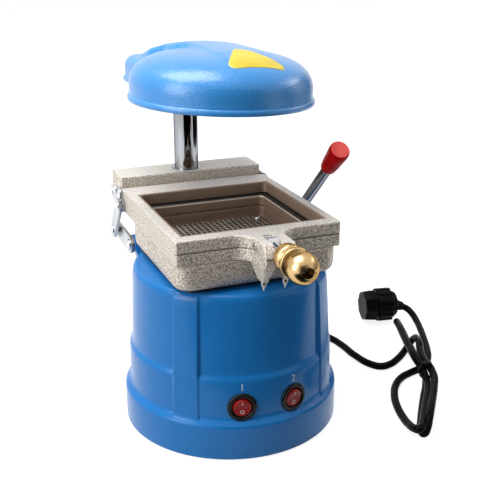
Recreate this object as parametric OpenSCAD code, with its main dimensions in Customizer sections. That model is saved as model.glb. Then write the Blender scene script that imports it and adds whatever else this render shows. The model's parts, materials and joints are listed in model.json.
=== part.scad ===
// Dental vacuum former: a round blue base with a vacuum motor, a cast tray and two
// clamping frames that a side lever lifts on a post, and a heater head on top of the post.
// The origin is on the axis of the round base at bench level. +Z is up and -Y is the front.

/* [Base] */
// Radius of the base at the bench
base_r = 92; // [90:1:94]
// Height of the round deck above the bench
deck_z = 139; // [137:1:142]
// Radius of the deck's outer edge
deck_r = 79.5; // [78:0.5:81]
// Radius of the upper panels where they meet the lower ones
panel_r = 84.5; // [83.5:0.5:85.5]
// Radius of the lower panels
band_r = 87.3; // [86.5:0.1:87.5]
// Radius of the four upright ribs at their foot
rib_r = 88.6; // [88:0.1:89]
// Width of each rib
rib_w = 21; // [16:1:24]
// Height of the plain skirt at the bottom
skirt_h = 28; // [24:1:30]
// Height of the step between the lower and the upper panels
step_z = 70; // [66:1:76]
// Half the width of the rear extension
rear_half_w = 44; // [42:1:46]

/* [Clamping frames] */
// Outer width of both frames
frame_w = 137; // [135:1:139]
// Distance from the base's axis to the front edge of the frames
front_y = 68.8; // [67:0.2:70]
// Opening of the upper frame, which takes a 127 mm square sheet
upper_opening = 118; // [116:1:120]
// Opening of the lower frame
lower_opening = 108; // [106:1:109]
// Distance of the openings' middle behind the base's axis
opening_y = 3; // [2:0.5:3.5]
// Thickness of each frame
plate_t = 10.1; // [9.5:0.1:11]

/* [Lift] */
// Radius of the chrome post
post_r = 11; // [10.5:0.5:11.5]
// Distance of the post behind the base's axis
post_y = 112; // [111:0.5:113]
// Depth of the cast bar that slides on the post
bar_d = 34.7; // [34:0.1:35.5]
// Height of the bar above the upper frame
bar_step = 8; // [6:0.5:10]
// Distance of the lever's shaft behind the base's axis
shaft_y = 68; // [67.5:0.1:68.5]
// Radius of the lever's shaft
shaft_r = 5; // [4.5:0.1:5.2]
// Length of each crank between its two pivots
crank_len = 40; // [39:0.5:40.5]
// Length of each link between its two pivots
link_len = 38.4; // [38:0.2:39]
// Length of the lever from the shaft to the middle of the grip
lever_len = 119; // [110:1:128]
// Angle of the lever above level at rest
lever_angle = 44; // [40:1:48]

/* [Clamp] */
// Distance of the clamp from the frame's middle, to the right
clamp_x = 2; // [0:0.5:3]
// Distance of the clamp's pivot in front of the base's axis
clamp_y = 84; // [83:0.5:85]
// Half the width of the tongue that the clamp sits in
tongue_half_w = 13; // [12:0.5:14]
// Width of the tongue's slot
slot_w = 9; // [8.8:0.1:9.4]
// Radius of the eye bolt's thread
bolt_r = 4; // [3.5:0.1:4.2]
// Distance of the knob's rear face from the pivot
knob_s = 25; // [24.5:0.5:27]
// Radius of the knob's ball and flange
knob_r = 12; // [11:0.5:13]

/* [Head] */
// Height of the head's rim above the bench
head_z = 270; // [266:1:276]
// Radius of the head's dome
dome_r = 75; // [73:1:76]
// Height of the dome above the rim
dome_h = 44; // [41:1:48]
// Distance of the dome's middle behind the base's axis
dome_y = 15.6; // [14:0.2:17]
// Half the width of the tail over the post
tail_half_w = 50; // [46:1:52]
// Thickness of the head's shell
head_wall = 3; // [2.5:0.5:4]

/* [Switches] */
// Angle of each switch from the front
switch_angle = 14.7; // [13:0.1:17]
// Height of the switches above the bench
switch_z = 46; // [44:1:48]
// Radius of a switch's round bezel
bezel_r = 12; // [11:0.5:12.5]

/* [Cord] */
// Radius of the mains cord
cord_r = 3.5; // [3:0.1:4]

/* [Hidden] */

// Fineness of the curves
$fn = 64;
// Radial gap of a shaft that turns or slides in its bore
run_gap = 0.05;
// Gap between pieces that move past each other
free_gap = 0.3;
// A cut reaches this far past the surface that it opens
past = 1;

// Heights, from the bench up
shell_foot_z = 1;
plate_floor_z = 3;
base_plate_t = 3;
gasket_t = 3;
box_z = deck_z + gasket_t;
box_h = 22.3;
lower_z = box_z + box_h + 0.2;
seam_z = lower_z + plate_t;
upper_z = seam_z + plate_t;
bar_top_z = upper_z + bar_step;
mesh_z = seam_z - 19.6;
mesh_t = 1.5;
shelf_z = deck_z - 11;
shaft_z = deck_z;

// The base's inside
shell_t = 5.5;
deck_t = 5;
inner_r = deck_r - 4;
inner_foot_r = panel_r - 9;
skirt_inner_r = base_r - 6;
skirt_inner_h = skirt_h - 2;
rear_y = post_y + 22;
deck_hole_r = 50;
rear_skirt = 3;
boss_r = 5.5;
foot_r = 7.5;
boss_angle = 50;
front_boss_r = skirt_inner_r - 12.9;
front_boss = front_boss_r * [cos(boss_angle), -sin(boss_angle)];
boss_web_t = 3;
rear_half_d = 50;
bay_half_d = 60;
rear_boss = [30, rear_y - 14];
boss_points = [for (m = [-1, 1], b = [front_boss, rear_boss]) [m * b[0], b[1]]];
boss_h = skirt_inner_h + 14;
screw_r = 2;
screw_head_r = 3.6;
lug_r = 8.5;
lug_w = 7.7;

// The vacuum box and what lies in it
box_half_w = frame_w / 2 - 0.5;
box_back_y = shaft_y - shaft_r - 1;
box_front_y = -front_y;
spigot_r = deck_hole_r - 1;
spigot_bore_r = 42;
mesh_half = lower_opening / 2 - 0.5;
mesh_screw = 46;

// The post and the bar
bolt_hole_r = 2.6;
post_bolt_x = 18;
socket_r = post_r + 5;
socket_foot_z = 46;
frame_bolt_x = 45;
bar_front_y = post_y - bar_d / 2;
bar_back_y = post_y + bar_d / 2;
bar_half_w = frame_w / 2 - 1.5;
bush_r = post_r + 2.5;
post_top_z = head_z + 24;
collar_z = head_z + 4;
collar_h = 5;

// The side linkage: the shaft's centre, the crank pin and the link's upper pin
crank_x = frame_w / 2 - 1.7;
crank_t = 2.5;
bracket_x = frame_w / 2 + 0.2;
bracket_t = 2;
low_head_t = 0.7;
link_x = bracket_x + bracket_t + low_head_t + free_gap;
link_t = 2.5;
upper_pin_y = shaft_y + 16;
upper_pin_z = lower_z + 5.9;
pin_gap = [upper_pin_y - shaft_y, upper_pin_z - shaft_z];
pin_gap_len = norm(pin_gap);
foot_len = (crank_len * crank_len - link_len * link_len + pin_gap_len * pin_gap_len) / (2 * pin_gap_len);
foot_side = sqrt(crank_len * crank_len - foot_len * foot_len);
crank_pin_y = shaft_y + (pin_gap[0] * foot_len + pin_gap[1] * foot_side) / pin_gap_len;
crank_pin_z = shaft_z + (pin_gap[1] * foot_len - pin_gap[0] * foot_side) / pin_gap_len;
crank_pin_r = 3;
upper_pin_r = 2.5;
open_hole_r = upper_pin_r + 2.3;
open_hole_y = upper_pin_y + 2;
open_hole_z = upper_pin_z + 0.5;
bar_end_r = 7;

bracket_holes = [[post_y + 5, lower_z + 11], [bar_front_y + 8, lower_z + 16]];

// The lever
lever_x = base_r - 5;
lever_r = 4.6;
hub_r = 9;
hub_w = 15;
grip_len = 30;

// The upper frame's hinge
hinge_y = bar_front_y - 6;
hinge_z = seam_z + plate_t / 2;
hinge_r = 3;

// The clamp
clamp_z = seam_z + 4.4;
clamp_pin_r = 2;
nose_s = 20.5;
clamp_face_s = 21.5;
clamp_face_angle = 30;
prong_z = lower_z - 12;
tip_y = 6;
eye_r = 6.5;
bolt_end_s = 62;
washer_t = 1.2;
knob_profile = [
  [knob_s, 5], [knob_s, 7.6], [knob_s + 2, 8.8], [knob_s + 5, 9.2], [knob_s + 8, 8.6],
  [knob_s + 10, 7.2], [knob_s + 16, 7.2], [knob_s + 16, knob_r - 0.4], [knob_s + 17, knob_r],
  [knob_s + 19, knob_r], [knob_s + 19.6, knob_r - 0.8], [knob_s + 20.4, knob_r - 0.8]
];
ball_s = knob_s + 29;

// The heater in the head: its flat top above the head's rim, its reflector and its coil
heater_top = 22;
heater_r = dome_r - 13;
heater_h = 14;
heater_wall = 1.5;
coil_gap = 16;
coil_wire_r = 3;

// The vacuum motor
fan_r = 52;
fan_z0 = 92;
fan_z1 = deck_z - deck_t;
motor_r = 44;
motor_foot_z = plate_floor_z + base_plate_t;
motor_shaft_r = 4;

// The rockers: their tilt when switched off, and the slope of each half of the face
rocker_tilt = 8;
rocker_valley = 9;
rocker_pin_r = 1.2;
rocker_pin_z = -1.5;

// The cord's route: where it leaves the base, across the bench, and the end at the plug
gland_y = 108;
gland_z = 26;
gland_r = 7;
gland_x = rear_half_w + rear_skirt;
run_points = [
  [77, 108, 26], [94, 107, 20], [112, 103, 11], [129, 96, 5], [141, 84, 4], [145, 62, 4],
  [146, 38, 4], [150, 20, 4], [158, 8, 4], [169, 8, 4], [180, 14, 4], [190, 22, 4]
];
tail_points = [
  [200, -4, 4], [209, 4, 4], [219, 21, 4], [229, 42, 4], [239, 65, 4], [246, 84, 5], [248, 97, 8],
  [246, 104, 11], [241, 107, 13.5]
];
hank_outline = [
  [219, 74], [212, 77], [206, 67], [197, 49], [189, 27], [181, 3], [175, -14], [163, -16],
  [150, -27], [137, -44], [129, -63], [124, -81], [120, -99], [118, -113], [122, -120], [131, -118],
  [143, -107], [155, -93], [167, -78], [177, -64], [184, -52], [189, -37], [193, -20], [200, -3],
  [207, 10], [213, 22], [218, 36], [217, 46], [213, 50], [219, 65]
];
hank_hole = [
  [128, -97], [132, -82], [137, -66], [145, -49], [156, -34], [168, -24], [173, -24], [172, -37],
  [162, -54], [148, -73], [134, -94]
];
hank_h = 26;
tie_at = [181, -35];
tie_half_w = 8.8;
tie_angle = -19;
plug_at = [216, 110];
plug_r = 18;
plug_z = plug_r + 0.2;
plug_angle = 80;
cap_r = 15.5;
cap_len = 14;
boot_end = [241, 107, 13.5];

// A rectangle of half sizes a and b with round corners
module round_rect(a, b, r) {
  square([2 * a - 2 * r, 2 * b], center = true);
  square([2 * a, 2 * b - 2 * r], center = true);
  for (x = [-a + r, a - r], y = [-b + r, b - r]) translate([x, y]) circle(r);
}

// A round bar along X from x0 to x1
module rod_x(x0, x1, y, z, r) {
  translate([x0, y, z]) rotate([0, 90, 0]) cylinder(h = x1 - x0, r = r);
}

// A round bar along Y from y0 to y1
module rod_y(x, y0, y1, z, r) {
  translate([x, y0, z]) rotate([-90, 0, 0]) cylinder(h = y1 - y0, r = r);
}

// A flat bar in a plane across X, with round ends at two pivots
module flat_link(x, t, a, b, r) {
  len = norm(b - a);
  angle = atan2(b[1] - a[1], b[0] - a[0]);
  translate([x, a[0], a[1]]) rotate([angle, 0, 0]) {
    rotate([0, 90, 0]) cylinder(h = t, r = r);
    translate([0, len, 0]) rotate([0, 90, 0]) cylinder(h = t, r = r);
    translate([0, 0, -r]) cube([t, len, 2 * r]);
  }
}

// Puts its children on the left side as they are, or mirrored on the right side
module on_side(side) {
  mirror([side == "right" ? 1 : 0, 0, 0]) children();
}

// A closed tube swept along a list of points, with rings across the path
module swept_tube(points, r, sides) {
  n = len(points);
  along = [for (i = [0:n - 1]) points[min(i + 1, n - 1)] - points[max(i - 1, 0)]];
  rings = [for (i = [0:n - 1]) let (
      t = along[i] / norm(along[i]),
      s = cross(t, [0, 0, 1]) / norm(cross(t, [0, 0, 1])),
      u = cross(s, t)
    ) for (k = [0:sides - 1]) points[i] + r * (cos(360 * k / sides) * s + sin(360 * k / sides) * u)];
  skin = [for (i = [0:n - 2], k = [0:sides - 1]) let (k2 = (k + 1) % sides)
      [i * sides + k, i * sides + k2, (i + 1) * sides + k2, (i + 1) * sides + k]];
  first_cap = [for (k = [0:sides - 1]) sides - 1 - k];
  last_cap = [for (k = [0:sides - 1]) (n - 1) * sides + k];
  polyhedron(points = rings, faces = concat([first_cap], skin, [last_cap]), convexity = 6);
}

// Points of a smooth curve through the cord's hand-chosen points
function curve_point(a, b, c, d, t) =
  0.5 * (2 * b + (c - a) * t + (2 * a - 5 * b + 4 * c - d) * t * t + (3 * b - a - 3 * c + d) * t * t * t);
function smooth_path(p, steps) = [for (i = [0:len(p) - 2], s = [0:steps - 1])
    curve_point(p[max(i - 1, 0)], p[i], p[i + 1], p[min(i + 2, len(p) - 1)], s / steps), p[len(p) - 1]];

// The outline of the base, turned about its axis
module base_outline() {
  rotate_extrude($fn = 128) polygon([
    [0, shell_foot_z], [base_r - 1, shell_foot_z], [base_r, shell_foot_z + 1],
    [base_r, skirt_h], [base_r - 1, skirt_h + 3], [band_r + 1.5, skirt_h + 7], [band_r, skirt_h + 8],
    [band_r - 0.3, step_z - 4], [band_r - 1, step_z - 1.5],
    [panel_r + 0.8, step_z + 2], [panel_r, step_z + 4],
    [deck_r + 2.6, deck_z - 8], [deck_r + 2, deck_z - 3.5], [deck_r + 1.2, deck_z - 1.4],
    [deck_r, deck_z - 0.3], [deck_r - 1.2, deck_z], [0, deck_z]
  ]);
}

// The four upright ribs between the panels
module base_ribs() {
  intersection() {
    rotate_extrude($fn = 128) polygon([
      [60, skirt_h], [rib_r + 2, skirt_h], [rib_r, skirt_h + 8], [rib_r - 1, step_z],
      [deck_r + 4.5, deck_z - 10], [deck_r + 3.6, deck_z - 4], [deck_r, deck_z - 0.6], [60, deck_z - 0.6]
    ]);
    for (a = [45, 135, 225, 315]) rotate([0, 0, a])
      translate([60, -rib_w / 2, 0]) cube([40, rib_w, deck_z]);
  }
}

// The boxy extension behind the round base that holds the post
module base_rear() {
  translate([0, 0, shell_foot_z]) linear_extrude(shelf_z - shell_foot_z)
    translate([0, rear_y - rear_half_d]) round_rect(rear_half_w, rear_half_d, 12);
  translate([0, 0, shell_foot_z]) linear_extrude(skirt_h - shell_foot_z + 4)
    translate([0, rear_y - rear_half_d + 2])
      round_rect(rear_half_w + rear_skirt, rear_half_d - 2 + rear_skirt, 14);
}

// Puts its children at a switch, with +Z pointing out of the panel
module at_switch(side) {
  rotate([0, 0, side * switch_angle]) translate([0, -band_r + 0.9, switch_z]) rotate([90, 0, 0]) children();
}

module base_shell() {
  lug_x = crank_x - lug_r;
  color("dodgerblue") difference() {
    union() {
      difference() {
        union() {
          base_outline();
          base_ribs();
        }
        translate([-base_r, box_back_y - 1, shelf_z]) cube([2 * base_r, base_r, deck_z]);
      }
      base_rear();
      for (m = [0, 1]) mirror([m, 0, 0]) {
        translate([lug_x, shaft_y, shaft_z]) rotate([0, 90, 0]) cylinder(h = lug_w, r = lug_r);
        hull() {
          translate([lug_x, shaft_y - lug_r, shaft_z - 2]) cube([lug_w, 2 * lug_r, 2]);
          translate([lug_x - 12, shaft_y - 16, shelf_z - 34]) cube([6, 10, 2]);
        }
      }
    }
    difference() {
      union() {
        translate([0, 0, skirt_inner_h]) 
          cylinder(h = deck_z - deck_t - skirt_inner_h, r1 = inner_foot_r, r2 = inner_r);
        translate([0, 0, -past]) cylinder(h = skirt_inner_h + past, r = skirt_inner_r);
        translate([0, 0, -past]) linear_extrude(shelf_z - deck_t + past)
          translate([0, rear_y - bay_half_d]) round_rect(rear_half_w - shell_t, bay_half_d - shell_t, 8);
      }
      translate([-base_r, box_back_y - 1 - deck_t, shelf_z - deck_t])
        cube([2 * base_r, base_r, deck_z]);
      for (b = boss_points) translate([b[0], b[1], motor_foot_z]) cylinder(h = boss_h, r = boss_r);
      for (m = [-1, 1]) translate([m * rear_boss[0] - boss_web_t / 2, rear_boss[1], motor_foot_z])
        cube([boss_web_t, rear_y - rear_boss[1] - shell_t + 0.5, boss_h]);
      for (a = [-boss_angle, 180 + boss_angle])
        rotate(a) translate([front_boss_r, -boss_web_t / 2, motor_foot_z])
        cube([skirt_inner_r - front_boss_r + 0.5, boss_web_t, boss_h]);
    }
    for (b = boss_points) translate([b[0], b[1], -past]) cylinder(h = 24 + past, r = screw_r);
    translate([0, 0, deck_z - deck_t - past]) cylinder(h = deck_t + 2 * past, r = deck_hole_r);
    translate([0, post_y, shelf_z - deck_t - past]) cylinder(h = deck_t + 2 * past, r = post_r + 0.5);
    for (x = [-post_bolt_x, post_bolt_x]) translate([x, post_y, shelf_z - deck_t - past])
      cylinder(h = deck_t + 2 * past, r = bolt_hole_r);
    rod_x(-base_r, base_r, shaft_y, shaft_z, shaft_r + 1.5);
    for (s = [-1, 1]) at_switch(s) {
      translate([0, 0, -30]) cylinder(h = 40, r = bezel_r - 2);
      cylinder(h = 10, r = bezel_r + 0.3);
    }
    rod_x(rear_half_w - 20, rear_half_w + 10, gland_y, gland_z, gland_r);
  }
}

module base_plate() {
  slot_rows = [-30, -18, -6, 6, 18, 30];
  color("dimgray") difference() {
    translate([0, 0, plate_floor_z]) union() {
      cylinder(h = base_plate_t, r = skirt_inner_r - 0.5);
      linear_extrude(base_plate_t) translate([0, rear_y - bay_half_d])
        round_rect(rear_half_w - shell_t - 0.5, bay_half_d - 0.5 - shell_t, 8);
    }
    for (b = boss_points) translate(b) cylinder(h = 10, r = screw_r + 0.3);
    for (x = slot_rows) translate([x - 2, 84, 0]) cube([4, 34, 10]);
  }
}

module feet() {
  color("#1c1c1e") for (b = boss_points) translate(b) difference() {
    cylinder(h = plate_floor_z, r = foot_r);
    translate([0, 0, -past]) cylinder(h = plate_floor_z + 2 * past, r = screw_head_r + 0.6);
  }
}

module base_screws() {
  color("silver") for (b = boss_points) translate([b[0], b[1], 0.8]) {
    cylinder(h = plate_floor_z - 0.8, r = screw_head_r);
    cylinder(h = 18, r = screw_r - 0.1);
  }
}

// The gasket follows the box's outline
module deck_gasket() {
  gasket_half = 57;
  gasket_corner = 26;
  color("#161616") translate([0, 0, deck_z]) difference() {
    linear_extrude(gasket_t) round_rect(gasket_half, gasket_half, gasket_corner);
    translate([0, 0, -past]) cylinder(h = gasket_t + 2 * past, r = deck_hole_r + 0.5);
    translate([-base_r, box_back_y - 1.2, -past]) cube([2 * base_r, base_r, 10]);
  }
}

// A slab of the vacuum box, with its sides moved in
module box_slab(inset, z, h) {
  half_d = (box_back_y - box_front_y) / 2;
  translate([0, (box_back_y + box_front_y) / 2, z]) linear_extrude(h)
    round_rect(box_half_w - inset, half_d - inset, 14 - inset);
}

module vacuum_box() {
  color("#b9b4ad") difference() {
    union() {
      box_slab(0, box_z + 8, box_h - 8);
      hull() {
        box_slab(0, box_z + 7.9, 0.1);
        box_slab(0.8, box_z + 4, 0.1);
        box_slab(3, box_z + 1.4, 0.1);
        box_slab(6.5, box_z, 0.1);
      }
      translate([0, 0, deck_z - 3]) cylinder(h = gasket_t + 5, r = spigot_r);
    }
    translate([0, opening_y, mesh_z - mesh_t]) linear_extrude(40)
      round_rect(lower_opening / 2, lower_opening / 2, 5);
    translate([0, opening_y, box_z + 5]) linear_extrude(40) round_rect(mesh_half - 14, mesh_half - 4, 10);
    translate([0, opening_y, box_z + 5]) linear_extrude(40) round_rect(mesh_half - 4, mesh_half - 14, 10);
    translate([0, 0, 0]) cylinder(h = deck_z + 10, r = spigot_bore_r);
    for (x = [-mesh_screw, mesh_screw], y = [-mesh_screw, mesh_screw])
      translate([x, opening_y + y, box_z + 4]) cylinder(h = 30, r = 1.6);
  }
}

module perforated_plate() {
  pitch = 6.4;
  hole_r = 1.5;
  rows = 7;
  color("#6b635a") difference() {
    translate([0, opening_y, mesh_z - mesh_t]) linear_extrude(mesh_t) difference() {
      round_rect(mesh_half, mesh_half, 4);
      for (i = [-rows:rows], j = [-rows:rows])
        if (max(abs(i), abs(j)) < rows || abs(i) + abs(j) < 2 * rows - 1)
          translate([i * pitch, j * pitch]) circle(hole_r, $fn = 16);
    }
    for (x = [-mesh_screw, mesh_screw], y = [-mesh_screw, mesh_screw])
      translate([x, opening_y + y, 0]) cylinder(h = 300, r = 1.7);
  }
}

module plate_screws() {
  color("silver") for (x = [-mesh_screw, mesh_screw], y = [-mesh_screw, mesh_screw])
    translate([x, opening_y + y, mesh_z]) {
      cylinder(h = 1.8, r = 3.2);
      translate([0, 0, -9]) cylinder(h = 9, r = 1.5);
    }
}

module fan_housing() {
  color("gainsboro") difference() {
    union() {
      translate([0, 0, fan_z0]) cylinder(h = fan_z1 - fan_z0, r = fan_r);
      translate([0, 0, fan_z1 - 2]) cylinder(h = 2, r = deck_hole_r + 5);
    }
    translate([0, 0, fan_z0 + 2]) cylinder(h = fan_z1 - fan_z0 - 4, r = fan_r - 2);
    translate([0, 0, fan_z1 - 10]) cylinder(h = 20, r = 20);
    translate([0, 0, fan_z0 - past]) cylinder(h = 10, r = motor_shaft_r + 3);
    for (a = [0:45:315]) rotate([0, 0, a]) translate([30, -4, fan_z0 + 6]) cube([40, 8, 8]);
  }
}

module impeller() {
  color("lightgray") difference() {
    translate([0, 0, fan_z0 + 8]) {
      cylinder(h = 2, r = fan_r - 6);
      cylinder(h = 16, r = 9);
      for (a = [0:30:330]) rotate([0, 0, a]) translate([14, -0.8, 0]) cube([fan_r - 22, 1.6, 16]);
    }
    cylinder(h = 200, r = motor_shaft_r);
  }
}

module motor_shaft() {
  color("silver") translate([0, 0, fan_z0 - 22]) cylinder(h = 48, r = motor_shaft_r);
}

module motor_can() {
  color("slategray") difference() {
    translate([0, 0, motor_foot_z + 22]) cylinder(h = fan_z0 - motor_foot_z - 22, r = motor_r);
    translate([0, 0, fan_z0 - 24]) cylinder(h = 30, r = motor_shaft_r + run_gap);
  }
}

module motor_mount() {
  color("#202022") translate([0, 0, motor_foot_z]) difference() {
    cylinder(h = 30, r = motor_r + 4);
    translate([0, 0, 22]) cylinder(h = 30, r = motor_r);
    translate([0, 0, -past]) cylinder(h = 40, r = motor_r - 8);
  }
}

module post() {
  color("gainsboro") translate([0, post_y, socket_foot_z + 4])
    cylinder(h = post_top_z - socket_foot_z - 4, r = post_r);
}

module post_socket() {
  color("gray") translate([0, post_y, 0]) difference() {
    union() {
      translate([0, 0, socket_foot_z]) cylinder(h = shelf_z - deck_t - socket_foot_z, r = socket_r);
      translate([-post_bolt_x - 8, -19, shelf_z - deck_t - 7]) cube([2 * post_bolt_x + 16, 34, 7]);
    }
    translate([0, 0, socket_foot_z + 4]) cylinder(h = 200, r = post_r);
    for (x = [-post_bolt_x, post_bolt_x]) translate([x, 0, shelf_z - deck_t - 20])
      cylinder(h = 40, r = bolt_hole_r);
  }
}

module post_bolts() {
  color("silver") for (x = [-post_bolt_x, post_bolt_x]) translate([x, post_y, 0]) {
    translate([0, 0, shelf_z]) cylinder(h = 4, r = 4.5, $fn = 6);
    translate([0, 0, shelf_z - 14]) cylinder(h = 15, r = bolt_hole_r - 0.1);
  }
}

module post_collar() {
  color("silver") translate([0, post_y, collar_z]) difference() {
    cylinder(h = collar_h, r = post_r + 5);
    translate([0, 0, -past]) cylinder(h = 20, r = post_r);
  }
}

module shaft_bushes() {
  color("peru") for (m = [0, 1]) mirror([m, 0, 0]) difference() {
    union() {
      rod_x(crank_x - 8.5, crank_x - 0.8, shaft_y, shaft_z, shaft_r + 1.5);
      rod_x(crank_x - 0.8, crank_x - 0.1, shaft_y, shaft_z, shaft_r + 2.6);
    }
    rod_x(0, base_r, shaft_y, shaft_z, shaft_r + run_gap);
  }
}

// A round rocker switch's case, with its flange on the panel
module switch_bezel(side) {
  color("#141414") at_switch(side) difference() {
    union() {
      cylinder(h = 1.4, r = bezel_r);
      translate([0, 0, 1.4]) cylinder(h = 1, r1 = bezel_r, r2 = bezel_r - 1.2);
      translate([0, 0, -17]) cylinder(h = 17.5, r = bezel_r - 2.2);
    }
    translate([0, 0, -10]) cylinder(h = 20, r = bezel_r - 3.6);
    rod_x(-bezel_r + 2.6, bezel_r - 2.6, 0, rocker_pin_z, rocker_pin_r + run_gap);
  }
}

module switch_bezel_left() { switch_bezel(-1); }
module switch_bezel_right() { switch_bezel(1); }

// A red rocker that tilts on a pin across the switch
module switch_rocker(side) {
  rocker_r = bezel_r - 3.9;
  color("red") at_switch(side) translate([0, 0, rocker_pin_z]) {
    difference() {
      sphere(r = rocker_r);
      rotate([rocker_tilt + rocker_valley, 0, 0]) translate([-20, 0, 3]) cube([40, 20, 20]);
      rotate([rocker_tilt - rocker_valley, 0, 0]) translate([-20, -20, 3]) cube([40, 20, 20]);
      translate([-20, -20, -20]) cube([40, 40, 14]);
    }
    rod_x(-rocker_r - 1, rocker_r + 1, 0, 0, rocker_pin_r);
  }
}

module switch_rocker_left() { switch_rocker(-1); }
module switch_rocker_right() { switch_rocker(1); }

module terminal_block() {
  color("ivory") translate([-18, 96, motor_foot_z]) difference() {
    cube([36, 14, 12]);
    for (x = [6:8:30]) translate([x, 7, 4]) cylinder(h = 20, r = 2);
  }
}

module cord_gland() {
  color("#151515") difference() {
    union() {
      rod_x(rear_half_w - shell_t - 4, gland_x, gland_y, gland_z, gland_r - 0.1);
      rod_x(gland_x, gland_x + 5, gland_y, gland_z, gland_r + 2);
      translate([gland_x + 5, gland_y, gland_z]) rotate([0, 90, 0])
        cylinder(h = run_points[0][0] - gland_x - 5, r1 = gland_r - 0.5, r2 = cord_r + 1.2);
    }
  }
}

module cord_run() {
  color("#101010") swept_tube(smooth_path(run_points, 3), cord_r, 10);
}

module cord_tail() {
  color("#101010") swept_tube(smooth_path(tail_points, 3), cord_r, 10);
}

module cord_hank() {
  color("#101010") linear_extrude(hank_h) difference() {
    polygon(hank_outline);
    polygon(hank_hole);
  }
}

module cord_tie() {
  strap_t = 1.2;
  color("#181818") translate(tie_at) rotate(tie_angle) difference() {
    translate([-tie_half_w - strap_t, -4, 0])
      cube([2 * tie_half_w + 2 * strap_t, 8, hank_h + strap_t + 0.2]);
    translate([-tie_half_w, -5, -past]) cube([2 * tie_half_w, 10, hank_h + past + 0.2]);
  }
}

// The plug with a cap over its pins, and the bend relief of its cord
module plug() {
  color("#121212") translate([plug_at[0], plug_at[1], plug_z]) rotate(plug_angle) rotate([-90, 0, 0]) {
    hull() {
      translate([0, 0, -14]) cylinder(h = 27, r = plug_r - 4, $fn = 24);
      translate([0, 0, -8]) cylinder(h = 17, r = plug_r, $fn = 24);
    }
    rotate(22.5) translate([0, 0, 12]) cylinder(h = cap_len, r1 = cap_r, r2 = cap_r - 2, $fn = 8);
  }
  color("#121212") hull() {
    translate([plug_at[0] + 14, plug_at[1] - 2.5, plug_z - 1]) sphere(r = 6.5, $fn = 16);
    translate(boot_end) rotate([0, 60, -30]) cylinder(h = 1, r = 4.8, center = true, $fn = 16);
  }
}

module lever_shaft() {
  color("silver") rod_x(-crank_x - crank_t, lever_x + hub_w / 2 - 1, shaft_y, shaft_z, shaft_r);
}

// A crank plate from the shaft to the crank pin, on the left side
module crank() {
  color("#c9ccd0") difference() {
    flat_link(-crank_x - crank_t, crank_t, [shaft_y, shaft_z], [crank_pin_y, crank_pin_z], 8);
    rod_x(-base_r, base_r, shaft_y, shaft_z, shaft_r);
    rod_x(-base_r, base_r, crank_pin_y, crank_pin_z, crank_pin_r + run_gap);
  }
}

module crank_left() { on_side("left") crank(); }
module crank_right() { on_side("right") crank(); }

module crank_screw() {
  color("silver") rod_x(-crank_x - crank_t - 2.2, -crank_x - crank_t, shaft_y, shaft_z, 4.2);
}

module lever_hub() {
  color("silver") difference() {
    rod_x(lever_x - hub_w / 2, lever_x + hub_w / 2, shaft_y, shaft_z, hub_r);
    rod_x(0, lever_x + hub_w / 2 - 1, shaft_y, shaft_z, shaft_r);
  }
}

// Puts its children on the lever, with +Z along the rod
module along_lever() {
  translate([lever_x, shaft_y, shaft_z]) rotate([90 - lever_angle, 0, 0]) children();
}

module lever_rod() {
  color("gainsboro") along_lever() translate([0, 0, hub_r - 0.4])
    cylinder(h = lever_len - hub_r, r = lever_r);
}

module lever_grip() {
  color("crimson") along_lever() translate([0, 0, lever_len - grip_len / 2]) difference() {
    rotate_extrude() polygon([
      [0, 0], [6, 0], [6.8, 0.8], [7.7, 7.5], [9, 17.5], [9.8, 23.5], [9.8, 26.5],
      [9, 28.8], [7.6, grip_len], [0, grip_len]
    ]);
    translate([0, 0, -past]) cylinder(h = grip_len / 2 + 2, r = lever_r);
  }
}

// A link bar between the crank pin and the pin at the carrier's bracket, on the left side
module link() {
  color("#c9ccd0") difference() {
    flat_link(-link_x - link_t, link_t, [crank_pin_y, crank_pin_z], [upper_pin_y, upper_pin_z], bar_end_r);
    rod_x(-base_r, base_r, crank_pin_y, crank_pin_z, crank_pin_r);
    rod_x(-base_r, base_r, upper_pin_y, upper_pin_z, upper_pin_r);
  }
}

module link_left() { on_side("left") link(); }
module link_right() { on_side("right") link(); }

// The crank pin's rivet and the stub pin that works in the bracket's wide hole
module link_pins() {
  color("silver") {
    rod_x(-link_x - link_t, -crank_x - 0.2, crank_pin_y, crank_pin_z, crank_pin_r);
    rod_x(-link_x - link_t - 2.4, -link_x - link_t, crank_pin_y, crank_pin_z, crank_pin_r + 1.6);
    rod_x(-link_x, -crank_x - crank_t - 0.2, crank_pin_y, crank_pin_z, crank_pin_r + 2);
    rod_x(-link_x - link_t, -bracket_x - 0.1, upper_pin_y, upper_pin_z, upper_pin_r);
    rod_x(-link_x - link_t - 1.8, -link_x - link_t, upper_pin_y, upper_pin_z, upper_pin_r + 1.2);
  }
}

module link_pins_left() { on_side("left") link_pins(); }
module link_pins_right() { on_side("right") link_pins(); }

module rear_bar() {
  color("#a89c90") difference() {
    union() {
      translate([-bar_half_w, bar_front_y, lower_z]) cube([2 * bar_half_w, bar_d, bar_top_z - lower_z]);
      for (m = [0, 1], hole = bracket_holes) mirror([m, 0, 0])
        rod_x(-bracket_x, -bar_half_w + 1, hole[0], hole[1], 5);
    }
    translate([0, post_y, lower_z - past]) cylinder(h = 60, r = bush_r);
    for (x = [-frame_bolt_x, frame_bolt_x]) rod_y(x, 0, 200, lower_z + plate_t / 2, bolt_hole_r);
    for (m = [0, 1], hole = bracket_holes) mirror([m, 0, 0])
      rod_x(-bracket_x - 1, -bar_half_w + 12, hole[0], hole[1], screw_r + 0.1);
  }
}

module post_bush() {
  color("peru") translate([0, post_y, lower_z]) difference() {
    cylinder(h = bar_top_z - lower_z, r = bush_r);
    translate([0, 0, -past]) cylinder(h = 60, r = post_r + run_gap);
  }
}

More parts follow.
